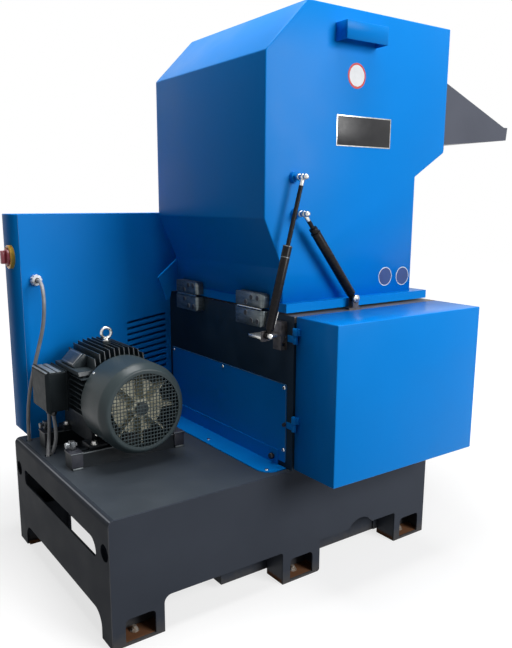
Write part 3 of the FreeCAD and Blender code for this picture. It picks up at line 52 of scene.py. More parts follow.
def finish(name, tone, second, rough, metal=0.0, patch=3.0, grain=420.0, relief=0.00008,
           coat=0.0, gloss_level=0.5, stretch=(1, 1, 1)):
    """Two close tones in soft patches, an uneven gloss and a fine surface grain."""
    mat = bpy.data.materials.new(name)
    mat.use_nodes = True
    nodes, links = mat.node_tree.nodes, mat.node_tree.links
    shader = nodes["Principled BSDF"]
    shader.inputs["Metallic"].default_value = metal
    shader.inputs["Coat Weight"].default_value = coat
    shader.inputs["Coat Roughness"].default_value = 0.12
    shader.inputs["Specular IOR Level"].default_value = gloss_level
    place = nodes.new("ShaderNodeTexCoord")
    turn = nodes.new("ShaderNodeMapping")
    turn.inputs["Scale"].default_value = stretch
    links.new(place.outputs["Object"], turn.inputs["Vector"])
    clouds = nodes.new("ShaderNodeTexNoise")
    clouds.inputs["Scale"].default_value = patch
    clouds.inputs["Detail"].default_value = 5.0
    links.new(turn.outputs["Vector"], clouds.inputs["Vector"])
    tones = nodes.new("ShaderNodeValToRGB")
    tones.color_ramp.elements[0].position = 0.35
    tones.color_ramp.elements[0].color = (*tone, 1)
    tones.color_ramp.elements[1].position = 0.65
    tones.color_ramp.elements[1].color = (*second, 1)
    links.new(clouds.outputs["Fac"], tones.inputs["Fac"])
    links.new(tones.outputs["Color"], shader.inputs["Base Color"])
    smears = nodes.new("ShaderNodeTexNoise")
    smears.inputs["Scale"].default_value = patch * 4
    smears.inputs["Detail"].default_value = 3.0
    links.new(turn.outputs["Vector"], smears.inputs["Vector"])
    gloss = nodes.new("ShaderNodeMapRange")
    gloss.inputs["From Min"].default_value = 0.3
    gloss.inputs["From Max"].default_value = 0.7
    gloss.inputs["To Min"].default_value = rough[0]
    gloss.inputs["To Max"].default_value = rough[1]
    links.new(smears.outputs["Fac"], gloss.inputs["Value"])
    links.new(gloss.outputs["Result"], shader.inputs["Roughness"])
    peel = nodes.new("ShaderNodeTexNoise")
    peel.inputs["Scale"].default_value = grain
    peel.inputs["Detail"].default_value = 2.0
    links.new(turn.outputs["Vector"], peel.inputs["Vector"])
    bump = nodes.new("ShaderNodeBump")
    bump.inputs["Distance"].default_value = relief
    bump.inputs["Strength"].default_value = 0.5
    links.new(peel.outputs["Fac"], bump.inputs["Height"])
    links.new(bump.outputs["Normal"], shader.inputs["Normal"])
    return mat


def overlay(mat, colour, low, high, axis=2, scale=60.0, edge=0.02, rough=0.85):
    """A second colour laid over a finish between two heights, broken up at its edges."""
    nodes, links = mat.node_tree.nodes, mat.node_tree.links
    shader = nodes["Principled BSDF"]
    place = nodes.new("ShaderNodeTexCoord")
    parts = nodes.new("ShaderNodeSeparateXYZ")
    links.new(place.outputs["Object"], parts.inputs["Vector"])
    crumbs = nodes.new("ShaderNodeTexNoise")
    crumbs.inputs["Scale"].default_value = scale
    crumbs.inputs["Detail"].default_value = 6.0
    links.new(place.outputs["Object"], crumbs.inputs["Vector"])
    ragged = nodes.new("ShaderNodeMath")
    ragged.operation = "MULTIPLY_ADD"
    ragged.inputs[1].default_value = edge
    links.new(crumbs.outputs["Fac"], ragged.inputs[0])
    links.new(parts.outputs[axis], ragged.inputs[2])
    band = nodes.new("ShaderNodeMapRange")
    band.inputs["From Min"].default_value = low
    band.inputs["From Max"].default_value = high
    band.inputs["To Min"].default_value = 1.0
    band.inputs["To Max"].default_value = 0.0
    links.new(ragged.outputs["Value"], band.inputs["Value"])
    for socket, value in (("Base Color", (*colour, 1)), ("Roughness", rough)):
        old = shader.inputs[socket].links[0].from_socket
        mix = nodes.new("ShaderNodeMix")
        mix.data_type = "RGBA" if socket == "Base Color" else "FLOAT"
        first = [s for s in mix.inputs if s.name == "A" and s.enabled][0]
        other = [s for s in mix.inputs if s.name == "B" and s.enabled][0]
        result = [s for s in mix.outputs if s.name == "Result" and s.enabled][0]
        links.new(band.outputs["Result"], mix.inputs["Factor"])
        links.new(old, first)
        other.default_value = value
        links.new(result, shader.inputs[socket])
    return mat


def dress(mat, *names):
    """Gives CAD nodes their finish."""
    for name in names:
        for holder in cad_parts[name].material_slots:
            holder.material = mat


def make(name, bm, body, mat, replaced=(), sharp=35):
    """Turns a finished bmesh into a piece that rides on a body."""
    mesh = bpy.data.meshes.new(name)
    bm.to_mesh(mesh)
    bm.free()
    mesh.materials.append(mat)
    mesh.shade_smooth()
    mesh.set_sharp_from_angle(angle=math.radians(sharp))
    piece = bpy.data.objects.new(name, mesh)
    bpy.context.scene.collection.objects.link(piece)
    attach(piece, body)
    if replaced:
        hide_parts(*replaced)
    return piece


def soften(bm, width, segments=2, limit=30, among=None):
    """Breaks the sharp edges of a shape, as a file or a fold does."""
    chosen = [e for e in (among or bm.edges)
              if len(e.link_faces) == 2 and e.calc_face_angle() > math.radians(limit)]
    bmesh.ops.bevel(bm, geom=chosen, offset=width / 1000, offset_type="OFFSET",
                    segments=segments, profile=0.5, affect="EDGES", material=-1,
                    clamp_overlap=True)


def bar(bm, x, y, z, width=0.0):
    """A block between places in millimetres, with its edges broken if a width is given."""
    low, high = spot(x[0], y[0], z[0]), spot(x[1], y[1], z[1])
    part = bmesh.ops.create_cube(bm, size=1.0, matrix=Matrix.Translation((low + high) / 2)
                                 @ Matrix.Diagonal((*(high - low), 1)))
    if width:
        soften(bm, width, among=dict.fromkeys(e for v in part["verts"] for e in v.link_edges))
    return part["verts"]


def pin(bm, start, end, radius, far_radius=None, segments=24):
    """A round bar or cone between two places in millimetres."""
    first, last = spot(*start), spot(*end)
    along = last - first
    turn = along.to_track_quat("Z", "Y").to_matrix().to_4x4()
    far = radius if far_radius is None else far_radius
    return bmesh.ops.create_cone(bm, cap_ends=True, segments=segments, radius1=radius / 1000,
                                 radius2=far / 1000, depth=along.length,
                                 matrix=Matrix.Translation((first + last) / 2) @ turn)


base_paint = finish("dark_grey_stove_paint", (0.036, 0.042, 0.055), (0.044, 0.051, 0.066),
                    (0.36, 0.48), patch=2.2, gloss_level=0.06)
overlay(base_paint, (0.10, 0.09, 0.08), 0.0, 0.10, scale=35.0, edge=0.08, rough=0.7)
dress(base_paint, "base_front_wall", "base_back_wall", "base_right_end", "discharge_trough")
# Painted shade: the left end's paint is a darker copy of the base paint, for its side turned away
# from the light.
end_shade_and_fold_highlight = finish("dark_grey_end_shade_and_fold_highlight", (0.030, 0.034, 0.042), (0.037, 0.042, 0.051),
                   (0.40, 0.50), patch=2.2, gloss_level=0.02)
# Painted highlight: a thin light line along the outer top of the left end's fold. The second layer
# keeps it to the outer 12 mm or so and gives the fold further in the base's own tone.
overlay(end_shade_and_fold_highlight, (0.20, 0.21, 0.23), 0.4795, 0.478, edge=0.0, rough=0.4)
overlay(end_shade_and_fold_highlight, (0.036, 0.043, 0.054), -0.7945, -0.796, axis=0, edge=0.0, rough=0.4)
dress(end_shade_and_fold_highlight, "base_left_end")
# Painted light: the deck's paint is a lighter copy of the base paint, for the top that the light
# falls on.
lit_deck_paint = finish("dark_grey_deck_painted_light", (0.040, 0.049, 0.060), (0.050, 0.061, 0.073),
                    (0.30, 0.42), patch=1.8, gloss_level=0.3)
dress(lit_deck_paint, "base_deck")
foot_steel = finish("foot_steel", (0.036, 0.042, 0.055), (0.044, 0.051, 0.066), (0.4, 0.5),
                    patch=8.0, gloss_level=0.15)
overlay(foot_steel, (0.17, 0.075, 0.035), 0.016, 0.030, scale=90.0, edge=0.012)
dress(foot_steel, "base_foot_boxes")

foot_pockets = ((10, 204), (754, 948), (1407, 1590))
trough_end = (1376, 1408)
foot_plates = bmesh.new()
for x in foot_pockets:
    for y in ((87, 90), (940, 943)):
        bar(foot_plates, x, y, (8, 178))
for y in ((104, 107), (923, 926)):
    bar(foot_plates, trough_end, y, (24, 160))
make("foot_inner_plates", foot_plates, "base_and_drive", base_paint)
lifting_height, sleeve_radius, sleeve_length, sleeve_wall = 354, 36, 62, 4
sleeve_mouths = (8, 1592)
sleeves = bmesh.new()
for x, inward in zip(sleeve_mouths, (1, -1)):
    for y in (45, 985):
        pin(sleeves, (x, y, lifting_height), (x + inward * sleeve_length, y, lifting_height),
            sleeve_radius, segments=48)
mouths = [f for f in sleeves.faces if len(f.verts) > 4
          and min(abs(f.calc_center_median().x - spot(x, 0, 0).x) for x in sleeve_mouths) < 0.001]
bmesh.ops.inset_individual(sleeves, faces=mouths, thickness=sleeve_wall / 1000)
for f in mouths:
    inward = -1 if f.calc_center_median().x > 0 else 1
    bmesh.ops.translate(sleeves, verts=f.verts[:],
                        vec=(inward * (sleeve_length - sleeve_wall) / 1000, 0, 0))
make("lifting_sleeves", sleeves, "base_and_drive", base_paint)

rusty_zinc = finish("rusty_zinc", (0.30, 0.22, 0.15), (0.42, 0.40, 0.37), (0.4, 0.7), metal=0.6,
                    patch=70.0)
anchors = bmesh.new()
for x in (110, 851, 1502.5):
    for y in (58, 972):
        pin(anchors, (x, y, 10), (x, y, 12.5), 17)
        pin(anchors, (x, y, 12.5), (x, y, 22), 13, 12.4, segments=6)
        pin(anchors, (x, y, 22), (x, y, 28), 8)
make("anchor_nuts", anchors, "base_and_drive", rusty_zinc)

# Cables. Grey rubber cables of 16 mm: one hangs from the gland on the belt housing down to its
# hole in the deck, two go from the glands under the terminal box to holes in the deck.

cable_rubber = finish("grey_cable_sheath", (0.20, 0.205, 0.215), (0.26, 0.265, 0.275),
                      (0.45, 0.6), patch=25.0, grain=900.0)


def lay_cable(name, node, points):
    """A stiff cable along given points, from its gland to its hole in the deck."""
    line = bpy.data.curves.new(name, "CURVE")
    line.dimensions = "3D"
    line.resolution_u = 16
    line.bevel_depth = 0.008
    line.bevel_resolution = 6
    line.use_fill_caps = True
    spline = line.splines.new("NURBS")
    spline.points.add(len(points) - 1)
    for point, place in zip(spline.points, points):
        point.co = (*spot(*place), 1)
    spline.order_u = 3
    spline.use_endpoint_u = True
    line.materials.append(cable_rubber)
    piece = bpy.data.objects.new(name, line)
    bpy.context.scene.collection.objects.link(piece)
    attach(piece, "base_and_drive")
    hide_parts(node)


lay_cable("supply_lead", "supply_cable", [
    (119, 944, 1206), (118, 910, 1206), (114, 878.5, 1193.5), (110, 854, 1170),
    (107, 840, 1138.5), (105, 837, 1101), (104, 846, 1051), (101, 866, 995),
    (95, 892, 938), (86, 914, 880), (76, 931, 822), (65, 943, 764), (55, 950, 704),
    (48, 955, 642), (44, 958, 580), (43, 958, 524), (43, 957, 480)])
lay_cable("motor_lead_1", "motor_cable_1", [
    (86, 735, 652), (89, 732, 614), (90, 728, 572), (85, 726, 534), (76, 730, 505),
    (68, 737, 480)])
lay_cable("motor_lead_2", "motor_cable_2", [
    (82, 781, 652), (82, 783, 612), (78, 778, 568), (68, 762, 530), (56, 740, 503),
    (47, 722, 480)])

# Cutting chamber. Thick welded plates in dark blue-grey paint with a bare milled flange on
# top; rotor, knives and screen inside are ground steel.

chamber_paint = finish("chamber_paint", (0.008, 0.019, 0.034), (0.012, 0.026, 0.044),
                       (0.42, 0.58), patch=3.0, gloss_level=0.15)
dress(chamber_paint, "chamber_end_walls", "chamber_side_walls")
milled_steel = finish("milled_flange_steel", (0.12, 0.10, 0.09), (0.22, 0.19, 0.17),
                      (0.4, 0.6), metal=0.7, patch=9.0, grain=250.0, relief=0.0001,
                      stretch=(0.3, 6, 1))
overlay(milled_steel, (0.008, 0.018, 0.032), -0.0155, -0.0145, axis=0, edge=0.0, rough=0.5)
dress(milled_steel, "chamber_top_flange", "rotor_bearing")
knife_steel = finish("ground_knife_steel", (0.30, 0.30, 0.31), (0.42, 0.42, 0.42),
                     (0.25, 0.4), metal=1.0, patch=12.0, stretch=(1, 8, 1))
dress(knife_steel, "rotor", "rotor_knives", "screen_and_beams")

# Blue sheet metal on the chamber. Five screws hold the cover plate on its left wall, whose top
# and front edges have light strips painted as highlights, a folded strip closes the corner to the
# deck, and a black plastic hand knob clamps the front corner.

blue_paint = finish("blue_stove_paint", (0.0012, 0.198, 0.62), (0.0018, 0.212, 0.66),
                    (0.28, 0.38), patch=1.6, grain=300.0, relief=0.00006, gloss_level=0.07)
dress(blue_paint, "cover_plate", "floor_angle", "hopper_ear", "hopper_flange",
      "strut_studs", "housing_front_panel")

bright_zinc = finish("bright_zinc", (0.46, 0.46, 0.44), (0.62, 0.62, 0.60), (0.22, 0.38),
                     metal=1.0, patch=60.0)
cover_screw_places = ((52, 820), (493, 820), (935, 820), (935, 525), (52, 560))
cover_screws = bmesh.new()
for y, z in cover_screw_places:
    pin(cover_screws, (786, y, z), (783.5, y, z), 8, 6.5)
make("cover_screws", cover_screws, "base_and_drive", bright_zinc)
angle_screws = bmesh.new()
for y in (62, 500, 925):
    pin(angle_screws, (712, y, 490), (712, y, 493), 8, 6.5)
make("angle_screws", angle_screws, "base_and_drive", bright_zinc)

# Painted highlight: light strips on the cover plate's top and front edges, the edges that face the
# light.
cover_edge_highlight = finish("cover_edge_painted_highlight", (0.05, 0.13, 0.24), (0.08, 0.17, 0.30), (0.3, 0.4),
                     patch=30.0)
plate_edges = bmesh.new()
bar(plate_edges, (785.3, 787), (38, 949), (833.2, 835.4))
bar(plate_edges, (785.3, 787), (37.6, 39.6), (512, 833.2))
make("cover_plate_edges", plate_edges, "base_and_drive", cover_edge_highlight)

black_plastic = finish("black_plastic", (0.012, 0.012, 0.013), (0.02, 0.02, 0.022),
                       (0.3, 0.45), patch=30.0)
knob_y, knob_z = 110, 521
knob = bmesh.new()
pin(knob, (782, knob_y, knob_z), (774, knob_y, knob_z), 7)
pin(knob, (775, knob_y, knob_z), (763, knob_y, knob_z), 14, 12.5, segments=10)
soften(knob, 1.2)
make("hand_knob", knob, "base_and_drive", black_plastic,
     replaced=("clamp_knob",))

# Heavy hinges. Two pairs of steel blocks with broken corners, each half held by three socket
# screws; a bright pin joins the halves, so the hopper can tip to the left.

hinge_steel = finish("hinge_block_steel", (0.075, 0.100, 0.110), (0.16, 0.18, 0.185),
                     (0.26, 0.42), metal=0.6, patch=16.0, stretch=(1, 1, 5))
socket_steel = finish("socket_head_steel", (0.10, 0.11, 0.12), (0.22, 0.23, 0.24), (0.25, 0.4),
                      metal=0.9, patch=60.0)
# Near-black for painted shade: the recesses of socket heads, the padlock holes and the inside of
# the motor's cowl.
shade_black = finish("painted_shade_black", (0.006, 0.006, 0.007), (0.012, 0.012, 0.013),
                      (0.4, 0.6), patch=80.0)
hinge_spans = ((152, 345), (650, 843))
hinge_face, pin_x, pin_z = 748, 749.5, 1122


def hinge_block(name, node, body, z, right, corner_up):
    """One half of both hinges: a block whose outer corners are rounded in side view."""
    blocks = bmesh.new()
    face_x, edge_z = spot(hinge_face, 0, 0).x, spot(0, 0, z[1] if corner_up else z[0]).z
    for span in hinge_spans:
        verts = bar(blocks, (hinge_face, right), span, z)
        edges = dict.fromkeys(e for v in verts for e in v.link_edges)
        corners = [e for e in edges if all(abs(v.co.z - edge_z) < 1e-5 for v in e.verts)
                   and abs(e.verts[0].co.x - e.verts[1].co.x) > 0.01]
        uprights = [e for e in edges if all(abs(v.co.x - face_x) < 1e-5 for v in e.verts)
                    and abs(e.verts[0].co.z - e.verts[1].co.z) > 0.02]
        bmesh.ops.bevel(blocks, geom=uprights + corners, offset=0.014, offset_type="OFFSET",
                        segments=4, profile=0.5, affect="EDGES", material=-1)
    soften(blocks, 1.2)
    make(name, blocks, body, hinge_steel, replaced=(node,))


hinge_block("hinge_lower_blocks", "hinge_lower_halves", "base_and_drive", (1050, 1116), 790,
            False)
hinge_block("hinge_upper_blocks", "hinge_upper_halves", "hopper", (1128, 1184), 786, True)

# Each head has a black disc in its middle, painted shade for the recess of its socket.
for name, body, heights in (("hinge_lower_screws", "base_and_drive", (1098, 1070, 1070)),
                            ("hinge_upper_screws", "hopper", (1142, 1165, 1165))):
    heads, socket_shades = bmesh.new(), bmesh.new()
    for start, end in hinge_spans:
        for share, z in zip((0.42, 0.62, 0.84), heights):
            y = end - share * (end - start)
            pin(heads, (hinge_face + 0.5, y, z), (hinge_face - 0.8, y, z), 12.5, 11.5)
            pin(socket_shades, (hinge_face, y, z), (hinge_face - 1.4, y, z), 10.2)
    make(name, heads, body, socket_steel)
    make(name + "_sockets", socket_shades, body, shade_black)

pins = bmesh.new()
for start, end in hinge_spans:
    pin(pins, (pin_x, start + 6, pin_z), (pin_x, end - 22, pin_z), 3.6)
make("hinge_pin_bars", pins, "base_and_drive", bright_zinc,
     replaced=("hinge_pins",))

# Hopper. Sheet of 5 mm folded and welded into a tall blue box that narrows to its neck, open
# at the bottom and where the chute brings the scrap in. A small hood of 4 mm sheet is welded
# to its front plate.

hopper_front, hopper_depth, hopper_wall, hood_wall = 76, 832, 5, 4
hopper_right, feed_sides, feed_heights = 1695, (100, 884), (1800, 2040)
hopper_side_view = [(790, 1154), (1516, 1154), (1516, 1648), (hopper_right, 1756),
                    (hopper_right, 2270), (894, 2270), (701, 2074), (701, 1479), (790, 1286)]
hopper = bmesh.new()
front = hopper.faces.new([hopper.verts.new(spot(x, hopper_front, z))
                          for x, z in hopper_side_view])
pulled = bmesh.ops.extrude_face_region(hopper, geom=[front])
bmesh.ops.translate(hopper, vec=(0, hopper_depth / 1000, 0),
                    verts=[v for v in pulled["geom"] if isinstance(v, bmesh.types.BMVert)])
bmesh.ops.recalc_face_normals(hopper, faces=hopper.faces)
bottom = [f for f in hopper.faces if f.normal.z < -0.9 and f.calc_center_median().z < 1.2]
bmesh.ops.delete(hopper, geom=bottom, context="FACES")
feed_edges = [(spot(0, y, 0), (0, 1, 0)) for y in feed_sides]
feed_edges += [(spot(0, 0, z), (0, 0, 1)) for z in feed_heights]
for place, normal in feed_edges:
    wall = [f for f in hopper.faces if f.normal.x > 0.9 and f.calc_center_median().x > 0.88]
    edges = dict.fromkeys(e for f in wall for e in f.edges)
    verts = dict.fromkeys(v for f in wall for v in f.verts)
    bmesh.ops.bisect_plane(hopper, geom=[*verts, *edges, *wall], plane_co=place,
                           plane_no=normal)
feed = spot(hopper_right, sum(feed_sides) / 2, sum(feed_heights) / 2)
mouth = [f for f in hopper.faces if f.normal.x > 0.9
         and (f.calc_center_median() - feed).length < 0.05]
bmesh.ops.delete(hopper, geom=mouth, context="FACES")
soften(hopper, hopper_wall, segments=3, limit=15)
hopper_sheet = make("hopper_sheet", hopper, "hopper", blue_paint,
                    replaced=("hopper_front_plate", "hopper_back_plate", "hopper_left_side",
                              "hopper_right_side", "hopper_roof"), sharp=50)


def thicken(piece, wall):
    """Gives a folded sheet its thickness, towards the inside."""
    sheet = piece.modifiers.new("sheet", "SOLIDIFY")
    sheet.thickness = wall / 1000
    sheet.offset = -1
    sheet.use_even_offset = True


thicken(hopper_sheet, hopper_wall)

hood = bmesh.new()
bar(hood, (1032, 1250), (12, hopper_front), (2140, 2208))
bmesh.ops.delete(hood, geom=[f for f in hood.faces if f.normal.z < -0.9 or f.normal.y > 0.9],
                 context="FACES")
soften(hood, 3)
thicken(make("hopper_hood_sheet", hood, "hopper", blue_paint,
             replaced=("hopper_hood",)), hood_wall)

# Feed chute. A folded tray of dark grey sheet, bolted with small bright bolts round the feed
# opening in the hopper's right end.

chute_paint = finish("dark_grey_chute_paint", (0.064, 0.070, 0.092), (0.076, 0.083, 0.108),
                     (0.34, 0.46), patch=2.5, gloss_level=0.2)
dress(chute_paint, "feed_chute")
bolt_places = [(y, z) for z in (1822, 1890, 1960, 2028) for y in (92, 892)]
bolt_places += [(y, 1784) for y in (160, 290, 420, 560, 690, 820)]
chute_bolts = bmesh.new()
for y, z in bolt_places:
    pin(chute_bolts, (hopper_right + 5, y, z), (hopper_right + 9, y, z), 6, 5)
make("chute_bolts", chute_bolts, "hopper", bright_zinc)

# Signs. A bare dark plate with a pale border, a plain white disc with a red ring and two
# plain dark blue discs with pale rims, all thin sheet or film on the front plate.

plate_dark = finish("nameplate_black", (0.012, 0.012, 0.014), (0.018, 0.018, 0.02), (0.28, 0.38),
                    patch=14.0, gloss_level=0.25)
sign_white = finish("sign_white", (0.66, 0.67, 0.68), (0.74, 0.75, 0.76), (0.3, 0.45),
                    patch=20.0)
sign_red = finish("sign_red", (0.48, 0.02, 0.02), (0.56, 0.03, 0.03), (0.3, 0.45), patch=20.0)
sign_blue = finish("sign_blue", (0.004, 0.035, 0.16), (0.006, 0.045, 0.19), (0.3, 0.45),
                   patch=20.0)
border, field = bmesh.new(), bmesh.new()
bar(border, (1049, 1350), (hopper_front - 1.6, hopper_front), (1758, 1876), 0.5)
bar(field, (1053, 1346), (hopper_front - 2, hopper_front - 1), (1762, 1872), 0.3)
make("nameplate_border", border, "hopper", bright_zinc)
make("nameplate_field", field, "hopper", plate_dark)


def round_sign(name, x, z, radius, rim, outer, inner):
    """A plain disc of film on the front plate, with a rim of another colour."""
    disc, centre = bmesh.new(), bmesh.new()
    pin(disc, (x, hopper_front, z), (x, hopper_front - 0.8, z), radius, segments=64)
    pin(centre, (x, hopper_front, z), (x, hopper_front - 1.1, z), radius - rim, segments=64)
    make(name + "_rim", disc, "hopper", outer)
    make(name + "_disc", centre, "hopper", inner)


round_sign("round_sign_1", 1149, 2027, 48, 8, sign_red, sign_white)
round_sign("round_sign_2", 1355, 1226, 40, 3, sign_white, sign_blue)
round_sign("round_sign_3", 1462, 1222, 40, 3, sign_white, sign_blue)

# Guard. A box of 4 mm sheet in front of the chamber, open towards it, that swings on two
# small barrel hinges at its left edge. Black screws hold their fixed halves to the chamber.

guard_wall = 4
barrel_x, barrel_y = 786, -14
guard = bmesh.new()
bar(guard, (798, 1600), (-236, -5), (492, 1111))
bmesh.ops.delete(guard, geom=[f for f in guard.faces if f.normal.y > 0.9], context="FACES")
soften(guard, guard_wall, segments=3)
thicken(make("guard_sheet", guard, "guard", blue_paint,
             replaced=("guard_box",)), guard_wall)

moving, fixed, hinge_screws = bmesh.new(), bmesh.new(), bmesh.new()
for z in (656, 1008):
    pin(moving, (barrel_x, barrel_y, z + 31), (barrel_x, barrel_y, z + 60), 11.2, segments=40)
    bar(moving, (788, 798), (-32, -16), (z + 33, z + 58))
    pin(fixed, (barrel_x, barrel_y, z), (barrel_x, barrel_y, z + 29.5), 9.8, segments=40)
    pin(fixed, (barrel_x, barrel_y, z + 29.5), (barrel_x, barrel_y, z + 31), 5)
    bar(fixed, (785.5, 789.5), (barrel_y, 34), (z + 2, z + 28))
    pin(hinge_screws, (785.5, 43, z + 14), (776, 43, z + 14), 9, 8, segments=6)
soften(moving, 1.0, limit=50)
soften(fixed, 1.0, limit=50)
make("guard_moving_barrels", moving, "guard", blue_paint,
     replaced=("guard_hinge_barrels",))
make("guard_fixed_barrels", fixed, "base_and_drive", blue_paint,
     replaced=("guard_hinge_leaves",))
make("guard_hinge_screws", hinge_screws, "base_and_drive", black_plastic)

# Belt housing. A tall box of 4 mm sheet with louvres in its front panel and a cable gland with
# a white scalloped nut. The two black glands under the terminal box are made with it.

housing_paint = finish("blue_housing_paint", (0.0012, 0.198, 0.62), (0.0018, 0.212, 0.66),
                       (0.30, 0.40), patch=1.6, grain=300.0, relief=0.00006, gloss_level=0.02)
housing_wall = 4
gland_x, gland_z = 119, 1206
housing = bmesh.new()
bar(housing, (58, 1600), (978, 1206), (486, 1490))
bmesh.ops.delete(housing, geom=[f for f in housing.faces if f.normal.y < -0.9], context="FACES")
soften(housing, housing_wall, segments=3)
thicken(make("housing_case", housing, "base_and_drive", housing_paint,
             replaced=("housing_shell",)), housing_wall)

gland_plastic = finish("white_gland_plastic", (0.60, 0.62, 0.66), (0.70, 0.72, 0.75),
                       (0.35, 0.5), patch=30.0)
glands = bmesh.new()


def scalloped(bm, start, end, radius, lobes, depth):
    """A nut with rounded lobes, drawn in towards its front."""
    part = pin(bm, start, end, radius, radius * 0.86, segments=lobes * 8)
    first, last = spot(*start), spot(*end)
    axis = (last - first).normalized()
    for v in part["verts"]:
        out = v.co - first
        out -= axis * out.dot(axis)
        side = axis.orthogonal()
        angle = math.atan2(out.dot(axis.cross(side)), out.dot(side))
        v.co += out.normalized() * depth / 1000 * math.cos(lobes * angle)


pin(glands, (gland_x, 974, gland_z), (gland_x, 968, gland_z), 24, segments=6)
scalloped(glands, (gland_x, 968, gland_z), (gland_x, 946, gland_z), 25, 10, 1.6)
soften(glands, 1.0, limit=50)
make("supply_gland", glands, "base_and_drive", gland_plastic,
     replaced=("cable_glands",))
seal = bmesh.new()
pin(seal, (gland_x, 946, gland_z), (gland_x, 945, gland_z), 11.5)
make("supply_gland_seal", seal, "base_and_drive", black_plastic)

box_glands = bmesh.new()
for x, y in ((86, 735), (82, 781)):
    pin(box_glands, (x, y, 672), (x, y, 662), 15, segments=6)
    pin(box_glands, (x, y, 662), (x, y, 654), 13.5, 11)
soften(box_glands, 0.8, limit=40)
make("box_glands", box_glands, "base_and_drive", black_plastic)

# Main switch. A yellow plastic bezel with a ring of holes for padlocks on the left end of the
# belt housing, and a red handle that turns in it.

switch_yellow = finish("switch_yellow_plastic", (0.88, 0.44, 0.02), (0.95, 0.50, 0.03),
                       (0.25, 0.4), patch=25.0, coat=0.2)
switch_red = finish("switch_red_plastic", (0.22, 0.012, 0.03), (0.30, 0.016, 0.035),
                    (0.25, 0.4), patch=25.0, coat=0.2)
switch_y, switch_z, lock_circle = 1095, 1302, 44.5
bezel = bmesh.new()
pin(bezel, (58, switch_y, switch_z), (42, switch_y, switch_z), 52, segments=64)
face = [f for f in bezel.faces if f.normal.x < -0.9]
for inset_width, drop in ((0.003, 0.003), (0.008, 0.0), (0.002, -0.009)):
    bmesh.ops.inset_region(bezel, faces=face, thickness=inset_width)
    bmesh.ops.translate(bezel, vec=(-drop, 0, 0), verts=list({v for f in face for v in f.verts}))
soften(bezel, 0.8, limit=50)
make("switch_bezel", bezel, "base_and_drive", switch_yellow,
     replaced=("switch_plate",))
# The padlock holes are black discs on the bezel, painted shade for the holes.
lock_holes = bmesh.new()
for angle in range(20, 360, 45):
    turned = math.radians(angle)
    y, z = switch_y + lock_circle * math.cos(turned), switch_z + lock_circle * math.sin(turned)
    pin(lock_holes, (39.4, y, z), (38.6, y, z), 2.8)
make("switch_lock_hole_shades", lock_holes, "base_and_drive", shade_black)

handle = bmesh.new()
pin(handle, (43.6, switch_y, switch_z), (29.6, switch_y, switch_z), 38, 35.5, segments=64)
bar(handle, (9.6, 32), (switch_y - 11, switch_y + 11), (switch_z - 29, switch_z + 29))
soften(handle, 2.5, segments=3, limit=50)
make("switch_knob", handle, "switch", switch_red, replaced=("switch_handle",))

# Motor. A finned cast frame in dark grey-green, bolted down on its feet, with a pressed cowl,
# a wire grille and a cream plastic fan in front, a bare plate on its shoulder and a bright
# lifting eye on top.

plate_rim = finish("motor_plate_rim", (0.16, 0.17, 0.18), (0.22, 0.23, 0.24), (0.3, 0.45),
                   metal=0.8, patch=30.0)
plate_blank = finish("motor_plate_blank", (0.016, 0.03, 0.05), (0.03, 0.045, 0.07),
                     (0.3, 0.5), patch=40.0)
motor_paint = finish("motor_paint", (0.018, 0.026, 0.031), (0.028, 0.038, 0.044),
                     (0.32, 0.48), patch=9.0, grain=160.0, relief=0.0003, gloss_level=0.3)
terminal_paint = finish("terminal_paint", (0.015, 0.020, 0.023), (0.022, 0.028, 0.031),
                        (0.38, 0.50), patch=9.0, grain=160.0, relief=0.0003, gloss_level=0.06)
dress(terminal_paint, "terminal_box", "terminal_lid")
# Painted shade: the slide rails and the motor's feet take a near-black paint, for where they lie
# under the motor.
shaded_rail_paint = finish("rail_painted_shade", (0.009, 0.012, 0.015), (0.014, 0.018, 0.022),
                    (0.38, 0.5), patch=12.0, grain=160.0, relief=0.0002, gloss_level=0.2)
dress(shaded_rail_paint, "slide_rails")
motor_x, motor_z = 332, 728


def round_part(bm, start, end, radius, far_radius=None, segments=24):
    """A round bar or cone on the motor's axis, between two distances from the front."""
    pin(bm, (motor_x, start, motor_z), (motor_x, end, motor_z), radius, far_radius, segments)


def rib(bm, x, y, z, lean=0):
    """A cast rib whose upper front corner leans back."""
    middle = spot(0, sum(y) / 2, sum(z) / 2)
    for v in bar(bm, x, y, z):
        if v.co.y < middle.y and v.co.z > middle.z:
            v.co.y += lean / 1000


casting = bmesh.new()
for start, end, radius, sides in ((521, 905, 150, 96), (905, 927, 168, 96), (927, 945, 70, 64),
                                  (945, 990, 24, 48)):
    round_part(casting, start, end, radius, segments=sides)
eye_y, eye_seat = 720, 953
pin(casting, (motor_x, eye_y, 870), (motor_x, eye_y, eye_seat), 20, 17)
for offset, top in ((0, 215), (22, 214), (44, 211), (66, 206), (88, 198), (110, 180)):
    for x in {motor_x - offset, motor_x + offset}:
        rib(casting, (x - 2, x + 2), (572, 880), (820, motor_z + top), lean=22)
for z in range(832, 656, -22):
    rib(casting, (motor_x - 178, motor_x + 178), (570, 880), (z - 2, z + 2))
rib(casting, (140, 200), (725, 885), (682, 832))
rib(casting, (150, 226), (590, 862), (844, 860), lean=6)
rib(casting, (172, 226), (592, 858), (830, 846))
make("motor_casting", casting, "base_and_drive", motor_paint,
     replaced=("motor_frame",))

# A black disc at the front of the casting, behind the fan, is painted shade for the dark inside of
# the cowl.
front_shield = bmesh.new()
round_part(front_shield, 508, 521, 174.5, segments=96)
make("motor_front_shade_disc", front_shield, "base_and_drive", shade_black)

